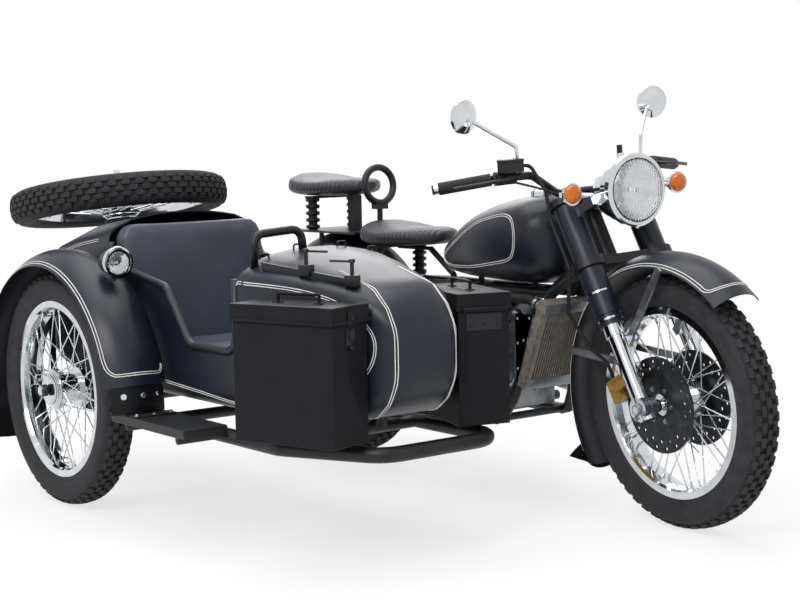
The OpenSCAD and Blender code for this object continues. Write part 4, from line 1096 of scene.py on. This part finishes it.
@dataclass
class Lamps:
    """Hollow lenses, bowls and bulbs of the headlamp and the sidecar's lamp."""

    axes: BikeAxes

    def build(self) -> None:
        """Makes both lamps' insides."""
        facing = Matrix.Rotation(math.pi / 2, 4, "Y")
        head = self.axes.steered() @ Matrix.Translation(Vector(HEADLAMP) * MM) @ facing
        self.lamp("headlamp", head, (84, 46, 25), 1.0, Body.STEERING, "headlamp_lens")
        side = self.axes.frame_at(*SIDE_LAMP) @ facing
        self.lamp("side_lamp", side, (33, 30, 17), 0.4, Body.CHASSIS, "sidecar_lamp_lens")

    def lamp(self, name: str, place: Matrix, size: tuple[float, float, float], scale: float, body: Body,
             lens_node: str) -> None:
        """Makes a lens, a bowl and a bulb.

        Args:
            name: Stem of the pieces' names.
            place: Axes of the lamp, Z forward.
            size: Radius of the lens, and how far forward its middle and its edge lie, in millimetres.
            scale: Size of bowl and bulb against the headlamp's.
            body: Body that carries the lamp.
            lens_node: CAD lens that the hollow one stands for.
        """
        radius, depth, lip = size
        thick = 3 * scale ** 0.5
        turns = [math.pi / 2 * k / 8 for k in range(9)]
        outer = [(lip + (depth - lip) * math.cos(t), radius * math.sin(t)) for t in turns]
        inner = [(a - thick, max(0.0, r - thick)) for a, r in reversed(outer)]
        Solid().turned([*outer, *inner, outer[0]], place).piece(name + "_glass", GLASS, body, lens_node)
        rim = radius - 5 * scale
        bowl = [(5 + (lip - 7) * (k / 8) ** 2, rim * (0.12 + 0.88 * k / 8)) for k in range(9)]
        back = [(a - 0.6, r + 0.3) for a, r in reversed(bowl)]
        Solid().turned([*bowl, *back, bowl[0]], place).piece(name + "_bowl", CHROME, body)
        Solid().turned([(5, 0), (5, 8 * scale), (lip - 6, 8 * scale), (lip, 5 * scale), (lip + 2, 0)],
                       place, 24).piece(name + "_bulb", GLASS, body)


class Studio:
    """Floor, lights and camera."""

    # Lights: name, place and size in metres, power in watts
    LIGHTS = (("key", (2.5, -4.5, 4.6), 3.0, 210), ("top", (-0.4, -0.3, 5.0), 4.0, 150),
              ("rim", (-4.0, 2.5, 3.6), 3.0, 90))
    # Camera: place in bike axes, angles in radians, and focal length over a picture's width in pixels
    EYE = (3604.28, -3162.1, 1039.39)
    YAW, PITCH, ROLL = 2.480513, -0.099743, -0.018154
    FOCAL, WIDTH = 1614.147, 800

    def build(self, axes: BikeAxes) -> None:
        """Sets the stage as the photograph has it.

        Args:
            axes: Bike axes that the camera's place is given in.
        """
        scene = bpy.context.scene
        scene.view_settings.view_transform = "Standard"
        floor = Solid()
        bmesh.ops.create_grid(floor.bm, x_segments=1, y_segments=1, size=30)
        mesh = bpy.data.meshes.new("floor")
        floor.bm.to_mesh(mesh)
        ground = bpy.data.objects.new("floor", mesh)
        scene.collection.objects.link(ground)
        mesh.materials.append(self.paper())
        self.sky(scene)
        for name, place, size, power in self.LIGHTS:
            light = bpy.data.lights.new(name, "AREA")
            light.size = size
            light.energy = power
            lamp = bpy.data.objects.new(name, light)
            lamp.location = place
            lamp.rotation_euler = (Vector((0, 0, 0.4)) - Vector(place)).to_track_quat("-Z", "Y").to_euler()
            scene.collection.objects.link(lamp)
        self.camera(scene, axes)

    @staticmethod
    def shown(tree: bpy.types.NodeTree) -> bpy.types.NodeSocket:
        """Socket that is 1 for rays of the camera, of mirrors and of glass, and 0 for the rest."""
        rays = add(tree, "ShaderNodeLightPath").outputs
        clear = add(tree, "ShaderNodeMath", {0: rays["Is Camera Ray"], 1: rays["Is Transmission Ray"]},
                    operation="MAXIMUM")
        both = add(tree, "ShaderNodeMath", {0: clear.outputs["Value"], 1: rays["Is Glossy Ray"]},
                   operation="MAXIMUM")
        return both.outputs["Value"]

    def paper(self) -> bpy.types.Material:
        """White paper floor that keeps a soft shadow near the outfit and is plain white beyond it."""
        made = Finish("white_paper", "#f4f4f3", "#f8f8f7", 0.8, patch_mm=900, shine=0.1).material()
        tree = made.node_tree
        glow = add(tree, "ShaderNodeEmission", {"Color": (1, 1, 1, 1), "Strength": 1.0})
        place = add(tree, "ShaderNodeTexCoord").outputs["Object"]
        away = add(tree, "ShaderNodeVectorMath", {0: place}, operation="LENGTH")
        white = add(tree, "ShaderNodeMapRange", {
            "Value": away.outputs["Value"], "From Min": 1.3, "From Max": 3.2, "To Min": 0.72, "To Max": 1.0},
            interpolation_type="SMOOTHSTEP")
        share = add(tree, "ShaderNodeMath", {0: self.shown(tree), 1: white.outputs["Result"]},
                    operation="MULTIPLY")
        paint = tree.nodes["Principled BSDF"].outputs["BSDF"]
        mix = add(tree, "ShaderNodeMixShader",
                  {0: share.outputs["Value"], 1: paint, 2: glow.outputs["Emission"]})
        tree.links.new(mix.outputs["Shader"], tree.nodes["Material Output"].inputs["Surface"])
        return made

    def sky(self, scene: bpy.types.Scene) -> None:
        """White for the camera, for mirrors and for glass, and soft grey light for the rest."""
        world = bpy.data.worlds.new("studio")
        world.use_nodes = True
        tree = world.node_tree
        level = add(tree, "ShaderNodeMapRange", {"Value": self.shown(tree), "To Min": 0.5, "To Max": 1.0})
        tree.nodes["Background"].inputs["Color"].default_value = (1, 1, 1, 1)
        tree.links.new(level.outputs["Result"], tree.nodes["Background"].inputs["Strength"])
        scene.world = world

    def camera(self, scene: bpy.types.Scene, axes: BikeAxes) -> None:
        """Camera in the photograph's place."""
        level, rise = math.cos(self.PITCH), math.sin(self.PITCH)
        ahead = Vector((level * math.cos(self.YAW), level * math.sin(self.YAW), rise))
        right = ahead.cross(Vector((0, 0, 1))).normalized()
        up = right.cross(ahead)
        c, s = math.cos(self.ROLL), math.sin(self.ROLL)
        right, up = right * c + up * s, up * c - right * s
        data = bpy.data.cameras.new("camera")
        data.sensor_width = 36
        data.lens = self.FOCAL * data.sensor_width / self.WIDTH
        shot = bpy.data.objects.new("camera", data)
        scene.collection.objects.link(shot)
        shot.matrix_world = (Matrix.Translation(axes.at(*self.EYE))
                             @ Matrix((right, up, -ahead)).transposed().to_4x4())
        scene.camera = shot


def main() -> None:
    """Builds the outfit's looks in order."""
    logging.basicConfig(level=logging.INFO, format="%(message)s")
    axes = BikeAxes.of_frame()
    work = Bodywork()
    work.dress()
    work.build()
    lean, lying = Matrix.Rotation(math.radians(-9), 4, "Y"), Matrix.Rotation(math.pi / 2, 4, "X")
    spare = axes.frame_at(*SPARE) @ lean @ lying
    rear = axes.frame_at(-axes.wheelbase / 2, 0, axes.wheel_r)
    for name, body, hub in (("front", Body.FRONT_WHEEL, axes.front_hub()),
                            ("rear", Body.REAR_WHEEL, rear),
                            ("sidecar", Body.SIDECAR_WHEEL, axes.frame_at(*SIDE_AXLE)),
                            ("spare", Body.CHASSIS, spare)):
        Wheel(name, body, hub).build()
    for node, corner in (("seat_back", 52.0), ("seat_cushion", 0.0)):
        Padding(node, corner).build()
    for trim in (SteeringTrim, BikeTrim, SidecarTrim):
        trim(axes).build()
    CoachLines(axes).build()
    Lamps(axes).build()
    Studio().build(axes)


if __name__ == "__main__":
    main()
